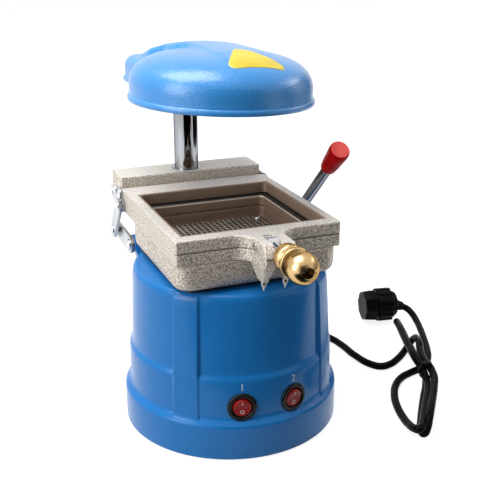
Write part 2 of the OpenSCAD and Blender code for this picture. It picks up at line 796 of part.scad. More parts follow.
// A frame in plan: a plate with a square opening
module frame_plan(opening, back_y) {
  mid_y = (back_y - front_y) / 2;
  difference() {
    translate([0, mid_y]) round_rect(frame_w / 2, back_y - mid_y, 2);
    translate([0, opening_y]) round_rect(opening / 2, opening / 2, 4);
  }
}

// The tongue in plan, with its round fillets at the root
module tongue_plan(reach) {
  fillet = 14;
  translate([clamp_x, -front_y]) {
    translate([-tongue_half_w, -reach]) square([2 * tongue_half_w, reach + 1]);
    for (m = [0, 1]) mirror([m, 0]) translate([tongue_half_w - 0.1, -fillet]) difference() {
      square([fillet, fillet + 1]);
      translate([fillet, 0]) circle(fillet);
    }
  }
}

// The clamp's sloping face, seen from the side: everything behind it
module behind_clamp_face(s) {
  translate([clamp_x, -clamp_y, clamp_z]) rotate([clamp_face_angle, 0, 0])
    translate([-60, -s, -60]) cube([120, 200, 160]);
}

module lower_frame() {
  color("#b9b4ad") difference() {
    union() {
      translate([0, 0, lower_z]) linear_extrude(plate_t) frame_plan(lower_opening, bar_front_y);
      intersection() {
        translate([0, 0, lower_z]) linear_extrude(plate_t) tongue_plan(clamp_y + nose_s - front_y - 0.2);
        behind_clamp_face(clamp_face_s);
      }
      intersection() {
        translate([clamp_x - tongue_half_w, -clamp_y - nose_s + 0.2, prong_z])
          cube([2 * tongue_half_w, nose_s + 12, lower_z - prong_z + 2]);
        behind_clamp_face(clamp_face_s);
        union() for (m = [-1, 1]) translate([clamp_x + m * (tongue_half_w + slot_w / 2) / 2, 0, 0])
          hull() {
            translate([-4.2, -120, lower_z + 2]) cube([8.4, 60 - 7, 0.1]);
            translate([-2.4, -120, prong_z]) cube([4.8, 36, 0.1]);
          }
      }
    }
    translate([clamp_x - slot_w / 2, -clamp_y - 40, prong_z - past]) cube([slot_w, 48, 60]);
    for (x = [-frame_bolt_x, frame_bolt_x])
      rod_y(x, bar_front_y - 20, 200, lower_z + plate_t / 2, bolt_hole_r);
    for (s = [-1, 1])
      translate([clamp_x + s * (tongue_half_w + slot_w / 2) / 2, -clamp_y - tip_y, prong_z - past])
      cylinder(h = 9, r = 1.5);
  }
}

module prong_tips() {
  color("silver") for (s = [-1, 1])
    translate([clamp_x + s * (tongue_half_w + slot_w / 2) / 2, -clamp_y - tip_y, prong_z]) {
      cylinder(h = 8, r = 1.5);
      translate([0, 0, -2]) cylinder(h = 2, r = 2.3);
      translate([0, 0, -7]) cylinder(h = 5, r1 = 0.4, r2 = 2.3);
    }
}

// A bracket plate on the left that joins the bar, the hinge and the link's upper pin
module bracket() {
  color("#c9ccd0") difference() {
    hull() {
      rod_x(-bracket_x - bracket_t, -bracket_x, bracket_holes[0][0], bracket_holes[0][1], 5.5);
      rod_x(-bracket_x - bracket_t, -bracket_x, hinge_y, hinge_z, 5.5);
      rod_x(-bracket_x - bracket_t, -bracket_x, open_hole_y, open_hole_z, open_hole_r + 2.4);
    }
    rod_x(-base_r, 0, open_hole_y, open_hole_z, open_hole_r);
    rod_x(-base_r, 0, hinge_y, hinge_z, hinge_r);
    for (hole = bracket_holes) rod_x(-base_r, 0, hole[0], hole[1], screw_r + 0.1);
  }
}

module bracket_left() { on_side("left") bracket(); }
module bracket_right() { on_side("right") bracket(); }

module bracket_screws() {
  color("silver") for (m = [0, 1], hole = bracket_holes) mirror([m, 0, 0]) {
    rod_x(-bracket_x - bracket_t - 2.4, -bracket_x - bracket_t, hole[0], hole[1], screw_head_r + 0.2);
    rod_x(-bracket_x - bracket_t, -bar_half_w + 10, hole[0], hole[1], screw_r);
  }
}

module hinge_screws() {
  color("silver") for (m = [0, 1]) mirror([m, 0, 0]) {
    rod_x(-bracket_x - bracket_t - low_head_t, -bracket_x - bracket_t, hinge_y, hinge_z, 4);
    rod_x(-bracket_x - bracket_t, -frame_w / 2 + 12, hinge_y, hinge_z, hinge_r);
  }
}

module frame_bolts() {
  color("silver") for (x = [-frame_bolt_x, frame_bolt_x]) {
    rod_y(x, bar_front_y - 19, bar_back_y, lower_z + plate_t / 2, bolt_hole_r - 0.1);
    rod_y(x, bar_back_y, bar_back_y + 4, lower_z + plate_t / 2, 4.4);
  }
}

module upper_frame() {
  round_r = plate_t / 2 - free_gap;
  color("#c4c0b9") difference() {
    union() {
      translate([0, 0, seam_z]) linear_extrude(plate_t) frame_plan(upper_opening, hinge_y);
      rod_x(-frame_w / 2, frame_w / 2, hinge_y, hinge_z, round_r);
      intersection() {
        translate([0, 0, seam_z]) linear_extrude(plate_t) tongue_plan(40);
        rod_x(-60, 60, -clamp_y, clamp_z - 12, nose_s + 2);
        translate([-60, -clamp_y - nose_s, 0]) cube([120, 60, 300]);
      }
    }
    translate([clamp_x - slot_w / 2, -clamp_y - 40, 0]) cube([slot_w, 48, 300]);
    rod_x(clamp_x - 40, clamp_x + 40, -clamp_y, clamp_z, clamp_pin_r);
    for (m = [0, 1]) mirror([m, 0, 0])
      rod_x(-base_r, -frame_w / 2 + 12.5, hinge_y, hinge_z, hinge_r + run_gap);
  }
}

module clamp_pin() {
  color("silver") {
    rod_x(clamp_x - tongue_half_w, clamp_x + tongue_half_w, -clamp_y, clamp_z, clamp_pin_r);
    rod_x(clamp_x - tongue_half_w - 1.6, clamp_x - tongue_half_w, -clamp_y, clamp_z, 3.2);
    rod_x(clamp_x + tongue_half_w, clamp_x + tongue_half_w + 1.6, -clamp_y, clamp_z, 3.2);
  }
}

module eye_bolt() {
  eye_half_w = slot_w / 2 - free_gap;
  color("gainsboro") difference() {
    union() {
      rod_x(clamp_x - eye_half_w, clamp_x + eye_half_w, -clamp_y, clamp_z, eye_r);
      rod_y(clamp_x, -clamp_y - bolt_end_s, -clamp_y, clamp_z, bolt_r);
    }
    rod_x(clamp_x - 10, clamp_x + 10, -clamp_y, clamp_z, clamp_pin_r + run_gap);
  }
}

// Puts its children on the eye bolt, with +Z pointing to the front
module along_bolt() {
  translate([clamp_x, -clamp_y, clamp_z]) rotate([90, 0, 0]) children();
}

module clamp_washer() {
  color("silver") along_bolt() translate([0, 0, knob_s - washer_t - 0.1]) difference() {
    cylinder(h = washer_t, r = 7.5);
    translate([0, 0, -past]) cylinder(h = 10, r = bolt_r + run_gap);
  }
}

module clamp_knob() {
  ball = [for (a = [-62:8:74]) [ball_s + knob_r * sin(a), knob_r * cos(a)]];
  outline = concat(knob_profile, ball);
  color("goldenrod") along_bolt() difference() {
    rotate_extrude() polygon(concat([[0, knob_s]], [for (p = outline) [p[1], p[0]]], [[0, ball_s + 11.6]]));
    cylinder(h = 100, r = bolt_r + run_gap);
  }
}

// The dome of the head, made smaller by an inset
module dome(inset) {
  wall_h = 12;
  fullness = 0.65;
  steps = [for (i = [0:12]) let (a = 90 * i / 12)
    [(dome_r - inset) * pow(cos(a), fullness), head_z + wall_h + (dome_h - wall_h - inset) * sin(a)]];
  translate([0, dome_y, 0]) rotate_extrude($fn = 96)
    polygon(concat([[0, head_z], [dome_r - inset + 0.8, head_z]], steps));
}

// The tail of the head over the post, made smaller by an inset
module tail(inset) {
  half_d = 44;
  mid_y = post_y + 33 - half_d;
  hull() {
    translate([0, mid_y, head_z]) linear_extrude(14) round_rect(tail_half_w - inset, half_d - inset, 16);
    translate([0, mid_y, head_z + 14]) linear_extrude(6)
      round_rect(tail_half_w - inset - 1.5, half_d - inset - 1.5, 16);
    translate([0, mid_y, head_z + 20]) linear_extrude(8 - inset)
      round_rect(tail_half_w - inset - 9, half_d - inset - 9, 14);
    translate([0, mid_y - 14, head_z + 30]) linear_extrude(9 - inset)
      round_rect(24, half_d - inset - 16, 14);
  }
}

module head_shell() {
  sleeve_r = post_r + 6;
  color("royalblue") difference() {
    union() {
      dome(0);
      tail(0);
      translate([0, dome_y, head_z]) cylinder(h = 5, r = dome_r + 1.5, $fn = 96);
      translate([0, post_y - 11, head_z]) linear_extrude(5) round_rect(tail_half_w + 1.5, 45.5, 17);
    }
    difference() {
      union() {
        translate([0, 0, -0.01]) dome(head_wall);
        tail(head_wall);
      }
      translate([0, post_y, head_z + collar_h + 5]) cylinder(h = 60, r = sleeve_r + 4);
      for (a = [60, 180, 300]) translate([0, dome_y, head_z + heater_top]) rotate([0, 0, a])
        translate([40, 0, 0]) cylinder(h = dome_h, r = 5);
    }
    translate([0, post_y, head_z - past]) cylinder(h = collar_h + 6, r = sleeve_r + 4);
    translate([0, post_y, head_z]) cylinder(h = post_top_z - head_z + 0.5, r = sleeve_r);
  }
}

module head_sleeve() {
  color("silver") translate([0, post_y, collar_z + collar_h]) difference() {
    cylinder(h = post_top_z - collar_z - collar_h, r = post_r + 6);
    translate([0, 0, -past]) cylinder(h = 60, r = post_r + run_gap);
  }
}

module heater_plate() {
  color("silver") translate([0, dome_y, head_z + heater_top - heater_h]) difference() {
    cylinder(h = heater_h, r = heater_r);
    translate([0, 0, -heater_wall]) cylinder(h = heater_h, r = heater_r - heater_wall);
  }
}

module heater_coil() {
  color("#8a4a30") translate([0, dome_y, head_z + heater_top - 10])
    for (k = [0:2]) rotate_extrude() translate([heater_r - 12 - k * coil_gap, 0]) circle(coil_wire_r);
}

module heater_insulators() {
  color("ivory") for (a = [0, 120, 240]) translate([0, dome_y, head_z + heater_top - 7]) rotate([0, 0, a])
    translate([12, -4, 0]) cube([heater_r - 18, 8, heater_wall + 4]);
}

base_shell();
base_plate();
feet();
base_screws();
deck_gasket();
vacuum_box();
perforated_plate();
plate_screws();
fan_housing();
motor_can();
motor_mount();
post();
post_socket();
post_bolts();
post_collar();
shaft_bushes();
switch_bezel_left();
switch_bezel_right();
terminal_block();
cord_gland();
cord_run();
cord_hank();
cord_tail();
cord_tie();
plug();
lever_shaft();
crank_left();
crank_right();
crank_screw();
lever_hub();
lever_rod();
lever_grip();
link_left();
link_right();
link_pins_left();
link_pins_right();
rear_bar();
post_bush();
lower_frame();
bracket_left();
bracket_right();
bracket_screws();
hinge_screws();
frame_bolts();
prong_tips();
upper_frame();
clamp_pin();
eye_bolt();
clamp_washer();
clamp_knob();
head_shell();
heater_plate();
heater_coil();
heater_insulators();
head_sleeve();
switch_rocker_left();
switch_rocker_right();
impeller();
motor_shaft();
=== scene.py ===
"""A bench-top vacuum former for dental sheets: blue base, cast frames, chrome post and swing-out heater."""

import json
import math

import bmesh
import bpy
import numpy as np
from mathutils import Matrix, Vector, noise
from mathutils.bvhtree import BVHTree

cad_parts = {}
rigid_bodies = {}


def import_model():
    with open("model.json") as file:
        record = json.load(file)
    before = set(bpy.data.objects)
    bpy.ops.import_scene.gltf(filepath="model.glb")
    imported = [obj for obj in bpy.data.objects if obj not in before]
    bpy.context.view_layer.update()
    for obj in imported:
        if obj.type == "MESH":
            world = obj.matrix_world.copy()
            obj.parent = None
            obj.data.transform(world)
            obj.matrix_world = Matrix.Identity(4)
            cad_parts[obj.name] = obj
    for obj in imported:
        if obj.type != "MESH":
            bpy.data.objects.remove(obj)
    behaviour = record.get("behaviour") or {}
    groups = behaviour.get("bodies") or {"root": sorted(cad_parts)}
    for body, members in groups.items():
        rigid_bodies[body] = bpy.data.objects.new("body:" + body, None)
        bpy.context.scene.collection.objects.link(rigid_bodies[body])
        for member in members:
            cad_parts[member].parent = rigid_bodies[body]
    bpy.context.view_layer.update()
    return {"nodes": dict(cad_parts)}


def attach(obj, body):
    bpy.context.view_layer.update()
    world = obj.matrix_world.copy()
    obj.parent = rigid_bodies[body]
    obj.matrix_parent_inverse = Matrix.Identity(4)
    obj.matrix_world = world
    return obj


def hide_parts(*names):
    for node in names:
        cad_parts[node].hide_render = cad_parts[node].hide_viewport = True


for thing in list(bpy.data.objects):
    bpy.data.objects.remove(thing)
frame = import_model()
nodes = frame["nodes"]

# Camera
# The photograph looks at the front left corner from a little above, through a long lens. The
# camera's place was fitted to the frames' corners, the base and the post.
def shown(thing):
    """Puts a new object in the scene."""
    bpy.context.scene.collection.objects.link(thing)
    return thing


def aimed(thing, at, aim):
    """Stands a camera or a lamp at a point, looking at another."""
    thing.location = at
    thing.rotation_euler = (Vector(aim) - Vector(at)).to_track_quat("-Z", "Y").to_euler()


camera = shown(bpy.data.objects.new("camera", bpy.data.cameras.new("camera")))
camera.data.lens = 64.02
camera.data.sensor_width = 36
aimed(camera, (-0.2489, -0.6600, 0.4007), (0.0160, -0.0065, 0.1470))
bpy.context.scene.camera = camera


# Mains cord
# Black PVC flex, 7 mm thick. It leaves the rear right of the base, crosses the bench and is
# folded into a hank, and its last stretch curves back to the moulded plug.
MM = 0.001


def surface(name):
    """A new material with its shader, ready for a finish."""
    material = bpy.data.materials.new(name)
    material.use_nodes = True
    tree = material.node_tree
    return material, tree, tree.nodes["Principled BSDF"]


def shader_group(kind, inputs, outputs):
    """A new shader group with its named sockets."""
    group = bpy.data.node_groups.new(kind, "ShaderNodeTree")
    for label, default in inputs:
        socket = group.interface.new_socket(label, in_out="INPUT", socket_type="NodeSocketFloat")
        socket.default_value = default
    for label in outputs:
        group.interface.new_socket(label, in_out="OUTPUT", socket_type="NodeSocketFloat")
    return group, group.nodes.new("NodeGroupInput"), group.nodes.new("NodeGroupOutput")


def wire(tree, source, socket, target, to):
    """Links one node's socket to another's."""
    tree.links.new(source.outputs[socket], target.inputs[to])


def texture(tree, kind, place, scale_from, scale, detail=None):
    """A texture on Object coordinates, its scale taken from a socket."""
    node = tree.nodes.new(kind)
    wire(tree, place, "Object", node, "Vector")
    wire(tree, scale_from, scale, node, "Scale")
    if detail:
        node.inputs["Detail"].default_value = detail
    return node


def build_relief():
    """Fine uneven relief of a moulded or cast skin, with its broad patches."""
    group, given, made = shader_group("skin relief", [("Grain", 900), ("Patches", 30)], ["Height", "Patch"])
    place = group.nodes.new("ShaderNodeTexCoord")
    fine = texture(group, "ShaderNodeTexNoise", place, given, "Grain", 3)
    broad = texture(group, "ShaderNodeTexNoise", place, given, "Patches", 4)
    wire(group, fine, "Fac", made, "Height")
    wire(group, broad, "Fac", made, "Patch")
    return group


relief_group = build_relief()


def relief(tree, grain, patches):
    """The skin's relief, placed in one material."""
    node = tree.nodes.new("ShaderNodeGroup")
    node.node_tree = relief_group
    node.inputs["Grain"].default_value = grain
    node.inputs["Patches"].default_value = patches
    return node


def ramp(tree, source, socket, low, high, start=0.35, end=0.65):
    """Blends two greys or colours over part of a mask's range."""
    node = tree.nodes.new("ShaderNodeValToRGB")
    for element, at, colour in zip(node.color_ramp.elements, (start, end), (low, high)):
        element.position = at
        element.color = (*colour, 1) if hasattr(colour, "__len__") else (colour, colour, colour, 1)
    wire(tree, source, socket, node, "Fac")
    return node


def bump(tree, bsdf, source, depth):
    """Turns a height into relief on the shader."""
    node = tree.nodes.new("ShaderNodeBump")
    node.inputs["Distance"].default_value = depth
    wire(tree, source, "Height", node, "Height")
    wire(tree, node, "Normal", bsdf, "Normal")


def finish(name, low, high, rough_low, rough_high, grain, patches, depth, metal=0.0, shine=0.5):
    """A plain finish: two tones in broad patches, uneven gloss and fine relief."""
    material, tree, bsdf = surface(name)
    skin = relief(tree, grain, patches)
    wire(tree, ramp(tree, skin, "Patch", low, high), "Color", bsdf, "Base Color")
    wire(tree, ramp(tree, skin, "Patch", rough_low, rough_high), "Color", bsdf, "Roughness")
    bump(tree, bsdf, skin, depth)
    bsdf.inputs["Metallic"].default_value = metal
    bsdf.inputs["Specular IOR Level"].default_value = shine
    return material


black_flex = finish(
    "black flex", (0.0035, 0.0035, 0.004), (0.006, 0.006, 0.007), 0.26, 0.36, 1400, 60, 0.00004, shine=0.03,
)

cord_radius = 3.5
cord_route = [
    (77, 108, 26), (84, 108, 25.2), (94, 107, 21.5), (112, 103, 12), (129, 96, 5.5), (141, 83, 3.7),
    (145, 62, 3.7), (146, 38, 3.7), (153, 12, 3.6), (159, 7, 3.6), (169, 8, 3.6), (180, 14, 3.6),
    (193, 24, 3.6), (206, 36, 3.8), (213, 41, 5.5), (214, 38, 10), (209, 25, 16), (203, 12, 19),
    (196, -1, 18), (189, -18, 17.5), (185, -36, 17.5), (179, -52, 17), (169, -67, 17), (158, -82, 17),
    (145, -99, 17), (137, -109, 14), (133, -113, 8.5), (130, -114, 4.5), (130, -109, 3.8), (138, -96, 3.6),
    (152, -76, 3.6), (166, -57, 3.6), (178, -41, 4.5), (185, -28, 7), (187, -14, 11.5), (196, 13, 11.5),
    (206, 41, 10.5), (215, 65, 9.5), (215, 71, 12.5), (209, 64, 18), (201, 47, 22.5), (193, 25, 22.5),
    (185, 1, 22), (179, -19, 21), (179, -31, 16), (178, -41, 10.5), (169, -58, 10.5), (156, -76, 10.5),
    (143, -93, 10.5), (131, -109, 11), (123, -116, 11), (122, -112, 9.5), (124, -99, 6), (128, -82, 3.8),
    (133, -65, 3.6), (141, -47, 3.6), (152, -31, 3.6), (165, -20, 3.6), (177, -15, 3.6), (187, -12, 3.6),
    (198, -7, 4), (209, 4, 4.5), (219, 21, 4.5), (229, 42, 4.5), (239, 65, 4.5), (246, 84, 5),
    (248, 97, 8), (246, 104, 11), (241, 107, 13.5),
]
cord_curve = bpy.data.curves.new("mains_cord", "CURVE")
cord_curve.dimensions = "3D"
cord_curve.bevel_depth = cord_radius * MM
cord_curve.bevel_resolution = 5
cord_curve.resolution_u = 8
cord_curve.use_fill_caps = True
strand = cord_curve.splines.new("BEZIER")
strand.bezier_points.add(len(cord_route) - 1)
for point, at in zip(strand.bezier_points, cord_route):
    point.co = Vector(at) * MM
    point.handle_left_type = point.handle_right_type = "AUTO"
mains_cord = shown(bpy.data.objects.new("mains_cord", cord_curve))
cord_curve.materials.append(black_flex)


# Plug and tie
# The plug is one black moulding: grip ribs round its waist, an eight-sided cap over its pins and a
# ribbed bend relief. A soft strap holds the hank together.
def piece(name, shape, body, material, sharp=35, stands_for=None):
    """A named solid in millimetres, closed and turned outwards, that rides on one body."""
    mesh = bpy.data.meshes.new(name)
    mesh.from_pydata([tuple(p) for p in shape[0]], [], shape[1])
    thing = settle(name, mesh, body, material, sharp, MM)
    if stands_for:
        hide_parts(stands_for)
    return thing


def dressed(mesh, material, sharp=None):
    """Gives a mesh one material and no other, and smooth shading up to an angle."""
    mesh.materials.clear()
    mesh.materials.append(material)
    if sharp:
        mesh.shade_smooth()
        mesh.set_sharp_from_angle(angle=math.radians(sharp))


def paint(material, *names):
    """Gives nodes of the frame their finish."""
    for name in names:
        dressed(nodes[name].data, material)


def settle(name, mesh, body, material, sharp=35, scale=1.0):
    """Merges a mesh's doubles, turns its faces outwards and puts it on its body."""
    work = bmesh.new()
    work.from_mesh(mesh)
    bmesh.ops.scale(work, vec=(scale, scale, scale), verts=work.verts)
    bmesh.ops.remove_doubles(work, verts=work.verts, dist=0.000005)
    bmesh.ops.recalc_face_normals(work, faces=work.faces)
    work.to_mesh(mesh)
    work.free()
    dressed(mesh, material, sharp)
    thing = shown(bpy.data.objects.new(name, mesh))
    if body:
        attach(thing, body)
    return thing


def loft(rings, closed_ends=True):
    """Points and faces of a skin through rings of the same number of points."""
    count, last = len(rings[0]), (len(rings) - 1) * len(rings[0])
    points = [p for ring in rings for p in ring]
    faces = []
    for start in range(0, last, count):
        for k in range(count):
            beside = (k + 1) % count
            faces.append((start + k, start + beside, start + count + beside, start + count + k))
    if closed_ends:
        faces += [tuple(range(count))[::-1], tuple(last + k for k in range(count))]
    return points, faces


def join_parts(*parts):
    """Several loose shapes as one list of points and faces."""
    points, faces = [], []
    for more_points, more_faces in parts:
        faces += [tuple(k + len(points) for k in face) for face in more_faces]
        points += list(more_points)
    return points, faces


def placed(shape, at, along=(0, 0, 1), turn=0.0):
    """A shape moved so that its +Z points along a direction."""
    spin = Vector(along).to_track_quat("Z", "Y").to_matrix() @ Matrix.Rotation(math.radians(turn), 3, "Z")
    return [spin @ Vector(p) + Vector(at) for p in shape[0]], shape[1]


def softened(profile, radius, steps=3):
    """A profile with its inner corners rounded."""
    out = [profile[0]]
    for before, corner, after in zip(profile, profile[1:], profile[2:]):
        b, c, a = Vector(before), Vector(corner), Vector(after)
        near, far = (b - c).length, (a - c).length
        cut = min(radius, near * 0.45, far * 0.45)
        if cut < 0.02 or corner[0] <= 0:
            out.append(corner)
            continue
        start, end = c + (b - c) * cut / near, c + (a - c) * cut / far
        for k in range(steps + 1):
            t = k / steps
            out.append(tuple((1 - t) ** 2 * start + 2 * t * (1 - t) * c + t * t * end))
    return out + [profile[-1]]


def circle(radius, sides):
    """Points round a circle."""
    return [(radius * math.cos(t), radius * math.sin(t)) for t in np.linspace(0, 2 * math.pi, sides, False)]


def turned(profile, sides=72):
    """A shape turned about Z from (radius, height) points."""
    return loft([[(x, y, height) for x, y in circle(max(radius, 0.0), sides)] for radius, height in profile])


def round_plan(half_w, half_d, corner, steps=6):
    """A rectangle with round corners, in plan."""
    points = []
    for quarter, (sx, sy) in enumerate(((1, 1), (-1, 1), (-1, -1), (1, -1))):
        for k in range(steps + 1):
            t = math.pi / 2 * (quarter + k / steps)
            x, y = sx * (half_w - corner), sy * (half_d - corner)
            points.append((x + corner * math.cos(t), y + corner * math.sin(t)))
    return points


def brick(half_w, half_d, low, high, corner, edge, steps=5):
    """A block with round upright corners and round edges."""
    rings = []
    for height, side in ((low, -1), (high, 1)):
        span = range(steps + 1) if side < 0 else range(steps, -1, -1)
        for k in span:
            t = math.pi / 2 * k / steps
            inset = edge * (1 - math.sin(t))
            lift = edge * (1 - math.cos(t))
            plan = round_plan(half_w - inset, half_d - inset, max(corner - inset, 0.05))
            rings.append([(x, y, height - side * lift) for x, y in plan])
    return loft(rings)


black_moulding = finish(
    "black moulding", (0.004, 0.004, 0.004), (0.008, 0.008, 0.009), 0.3, 0.42, 1100, 45, 0.00006, shine=0.04,
)
plug_at, plug_turn = Vector((219, 110, 18.3)), math.radians(80)
plug_way = Vector((-math.sin(plug_turn), math.cos(plug_turn), 0))
plug_line = [
    (0, -14), (8, -14), (12.6, -13), (13.8, -10.5), (14, -8.4), (16.2, -7.6), (16.7, -6.5), (16.7, 6.8),
    (16.2, 8), (14.2, 9), (13.4, 10.4), (13.4, 12), (0, 12),
]
plug_body = turned(softened(plug_line, 1.5, 4))
grip_bar, grip_ring = brick(2.3, 1.3, -7.6, 8.2, 1, 0.8, 3), 16.5
grips = []
for t in np.linspace(0.1, 2 * math.pi + 0.1, 12, False):
    grip_at = (grip_ring * math.cos(t), grip_ring * math.sin(t), 0)
    grips.append(placed(grip_bar, grip_at, (0, 0, 1), math.degrees(t) + 90))
cap_line = [(16, 10.6), (17.2, 11.5), (17.2, 14), (16.3, 22), (15.2, 23.4)]
cap = loft([[(x, y, s) for x, y in circle(r, 8)] for r, s in cap_line])
relief_line = [
    (0, 0), (6.5, 0), (6.3, 3), (5.2, 3.5), (5.2, 4.3), (5.9, 4.8), (5.6, 7.2), (4.7, 7.7), (4.7, 8.5),
    (5.2, 9), (4.9, 12), (4.2, 13.6), (0, 13.6),
]
relief_at, relief_to = Vector((228.8, 107.7, 18)), Vector((241.5, 107, 13.3))
plug_shape = join_parts(
    placed(join_parts(plug_body, cap, *grips), plug_at, plug_way),
    placed(turned(relief_line, 32), relief_at, relief_to - relief_at),
)
plug_moulding = piece("plug_moulding", plug_shape, "base", black_moulding)
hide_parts("plug", "cord_run", "cord_tail", "cord_hank")


def raised(shape, lift):
    """A shape moved without a turn."""
    return [Vector(p) + Vector(lift) for p in shape[0]], shape[1]


def strap_loop(half_w, half_h, thickness, half_d):
    """A flat strap that goes once round the bundle."""
    outer, inner = [], []
    for y, eased in ((-half_d, 0.25), (-half_d + 0.4, 0), (half_d - 0.4, 0), (half_d, 0.25)):
        for rings, inset in ((outer, eased), (inner, thickness - eased)):
            rings.append([((half_w - inset) * c, y, (half_h - inset) * s) for c, s in circle(1, 40)])
    return loft(outer + inner[::-1] + outer[:1], False)


tie_tail = raised(brick(5, 2.4, -0.5, 0.7, 1, 0.3, 2), (1, 0, 8))
tie_shape = placed(join_parts(strap_loop(8, 8, 1.1, 2.6), tie_tail), (182, -35, 14.6), (0, 0, 1), -19)
cord_tie = piece("cord_tie_strap", tie_shape, "base", black_moulding, stands_for="cord_tie")
paint(black_moulding, "cord_gland")
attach(mains_cord, "base")


# Base
# One blue moulding: a plain skirt, panels between four upright ribs, a flat deck, and a boxy
# housing behind for the post. Its satin skin has the faint unevenness of the mould.
blue_moulded = finish(
    "blue moulded", (0.0095, 0.158, 0.460), (0.0105, 0.166, 0.475), 0.2, 0.24, 700, 25, 0.00003, shine=0.24,
)

panel_line = [
    (1, 91), (2, 92), (28.6, 92), (30.4, 91.8), (31.3, 91.3), (32, 90.5), (34.2, 88.3), (35, 87.6),
    (36.2, 87.2), (67.2, 86.8), (68.8, 86.6), (69.6, 86.2), (71.6, 84.9), (72.5, 84.5), (74, 84.3),
    (131, 82.1), (134.5, 81.7), (136.6, 81), (138, 80), (138.8, 78.6),
]
rib_line = [
    (28, 90.8), (33, 89.4), (36, 88.6), (70, 87.6), (129, 84.2), (134, 83.3), (136.5, 81.9), (138, 80.2),
    (138.8, 78.6),
]
rib_angles = (45, 135, 225, 315)
rib_half, rib_flank = 7.4, 1.5


def base_radius(angle, height):
    """The wall's radius at an angle in degrees and a height."""
    panel = np.interp(height, *zip(*panel_line))
    rib = max(panel, np.interp(height, *zip(*rib_line)))
    away = min(abs((angle - rib_at + 180) % 360 - 180) for rib_at in rib_angles)
    t = min(max((rib_half + rib_flank / 2 - away) / rib_flank, 0), 1)
    return panel + (rib - panel) * t * t * (3 - 2 * t)


flanks = []
for rib_at in rib_angles:
    for side in (-1, 1):
        flanks += [rib_at + side * (rib_half + k * rib_flank / 6) for k in range(-4, 5)]
around = sorted(set([round(a % 360, 3) for a in flanks] + [float(a) for a in range(0, 360, 2)]))
between = [4, 12, 20, 33.1, 38, 42, 50, 58, 63, 70.6, 79, 90, 101, 112, 121, 127, 129, 133]
deck_z, deck_edge = 139, 77.4
base_rings = []
for height in sorted(set([z for z, r in panel_line] + between)) + [deck_z]:
    ring = []
    for a in around:
        radius = deck_edge if height == deck_z else base_radius(a, height)
        ring.append((radius * math.cos(math.radians(a)), radius * math.sin(math.radians(a)), height))
    base_rings.append(ring)


def combine(target, tool, operation):
    """Joins, cuts or keeps one solid with another, and drops the second."""
    change = target.modifiers.new("combine", "BOOLEAN")
    change.operation = operation
    change.solver = "EXACT"
    change.object = tool
    keep_changes(target)
    bpy.data.objects.remove(tool)


def keep_changes(thing):
    """Turns an object's modifiers into its plain mesh."""
    seen = thing.evaluated_get(bpy.context.evaluated_depsgraph_get())
    mesh = bpy.data.meshes.new_from_object(seen)
    thing.modifiers.clear()
    thing.data = mesh


def cut(target, shape, operation="DIFFERENCE"):
    """Cuts a shape out of a solid, or with UNION joins it on."""
    combine(target, piece("tool", shape, None, blue_moulded), operation)


def pipe(radius, start, end, sides=48):
    """A round bar from one point to another."""
    a, b = Vector(start), Vector(end)
    return placed(turned([(radius, 0), (radius, (b - a).length)], sides), a, b - a)


def block(low, high):
    """A plain block from its lowest to its highest corner."""
    (x0, y0, z0), (x1, y1, z1) = low, high
    return loft([[(x0, y0, z), (x1, y0, z), (x1, y1, z), (x0, y1, z)] for z in (z0, z1)])


def skin_over(points):
    """The convex skin over some points, as a mesh that is being worked on."""
    work = bmesh.new()
    for p in points:
        work.verts.new(p)
    found = bmesh.ops.convex_hull(work, input=work.verts)
    loose = {g for g in found["geom_interior"] + found["geom_unused"] if isinstance(g, bmesh.types.BMVert)}
    bmesh.ops.delete(work, geom=list(loose), context="VERTS")
    return work


def hull_of(points, edge):
    """The skin stretched over some points, with its sharp edges rounded."""
    work = skin_over(points)
    bmesh.ops.dissolve_limit(work, angle_limit=math.radians(2), verts=work.verts, edges=work.edges)
    corners = [e for e in work.edges if len(e.link_faces) == 2 and e.calc_face_angle() > math.radians(25)]
    bmesh.ops.bevel(work, geom=corners, offset=edge, segments=3, affect="EDGES", profile=0.5)
    rounded = [v.co.copy() for v in work.verts]
    work.free()
    work = skin_over(rounded)
    work.verts.index_update()
    shape = [v.co.copy() for v in work.verts], [tuple(v.index for v in f.verts) for f in work.faces]
    work.free()
    return shape


shaft_at, post_y = Vector((0, 68, deck_z)), 112
base = piece("base_moulding", loft(base_rings), "base", blue_moulded, 40)
room_over_shelf = block((-120, 61, 128), (120, 160, 160))
housing = placed(brick(44, 50, 1, 128, 12, 2.2), (0, 84, 0))
housing_skirt = placed(brick(47, 51, 1, 32, 14, 2.2), (0, 86, 0))
cut(base, room_over_shelf)
cut(base, housing, "UNION")
cut(base, housing_skirt, "UNION")
for side in (-1, 1):
    ear = [(side * x, y, 94) for x in (46.8, 52) for y in (52, 62)]
    for t in np.linspace(-0.35, math.pi + 0.35, 22):
        y, z = shaft_at.y + 8.5 * math.cos(t), shaft_at.z + 8.5 * math.sin(t)
        ear += [(side * 58.3, y, z), (side * 66, y, z)]
    cut(base, hull_of(ear, 0.7), "UNION")
cavity = piece("tool", turned([(86, -3), (86, 26), (75.5, 26), (75.5, 134)], 96), None, blue_moulded)
cut(cavity, placed(brick(38.5, 54.5, -3, 123, 8, 0.5), (0, 74, 0)), "UNION")
cut(cavity, block((-120, 55, 123), (120, 160, 160)))
combine(base, cavity, "DIFFERENCE")
air_way = pipe(50, (0, 0, 130), (0, 0, 145), 96)
shaft_bore = pipe(6.5, shaft_at - Vector((100, 0, 0)), shaft_at + Vector((100, 0, 0)))
post_bore = pipe(11.5, (0, post_y, 120), (0, post_y, 135))
cord_hole = pipe(7, (30, 108, 26), (60, 108, 26))
for opening in (air_way, shaft_bore, post_bore, cord_hole):
    cut(base, opening)
switch_angle, switch_height, switch_seat = math.radians(14.7), 46, 86.4
switch_out, switch_at = {}, {}
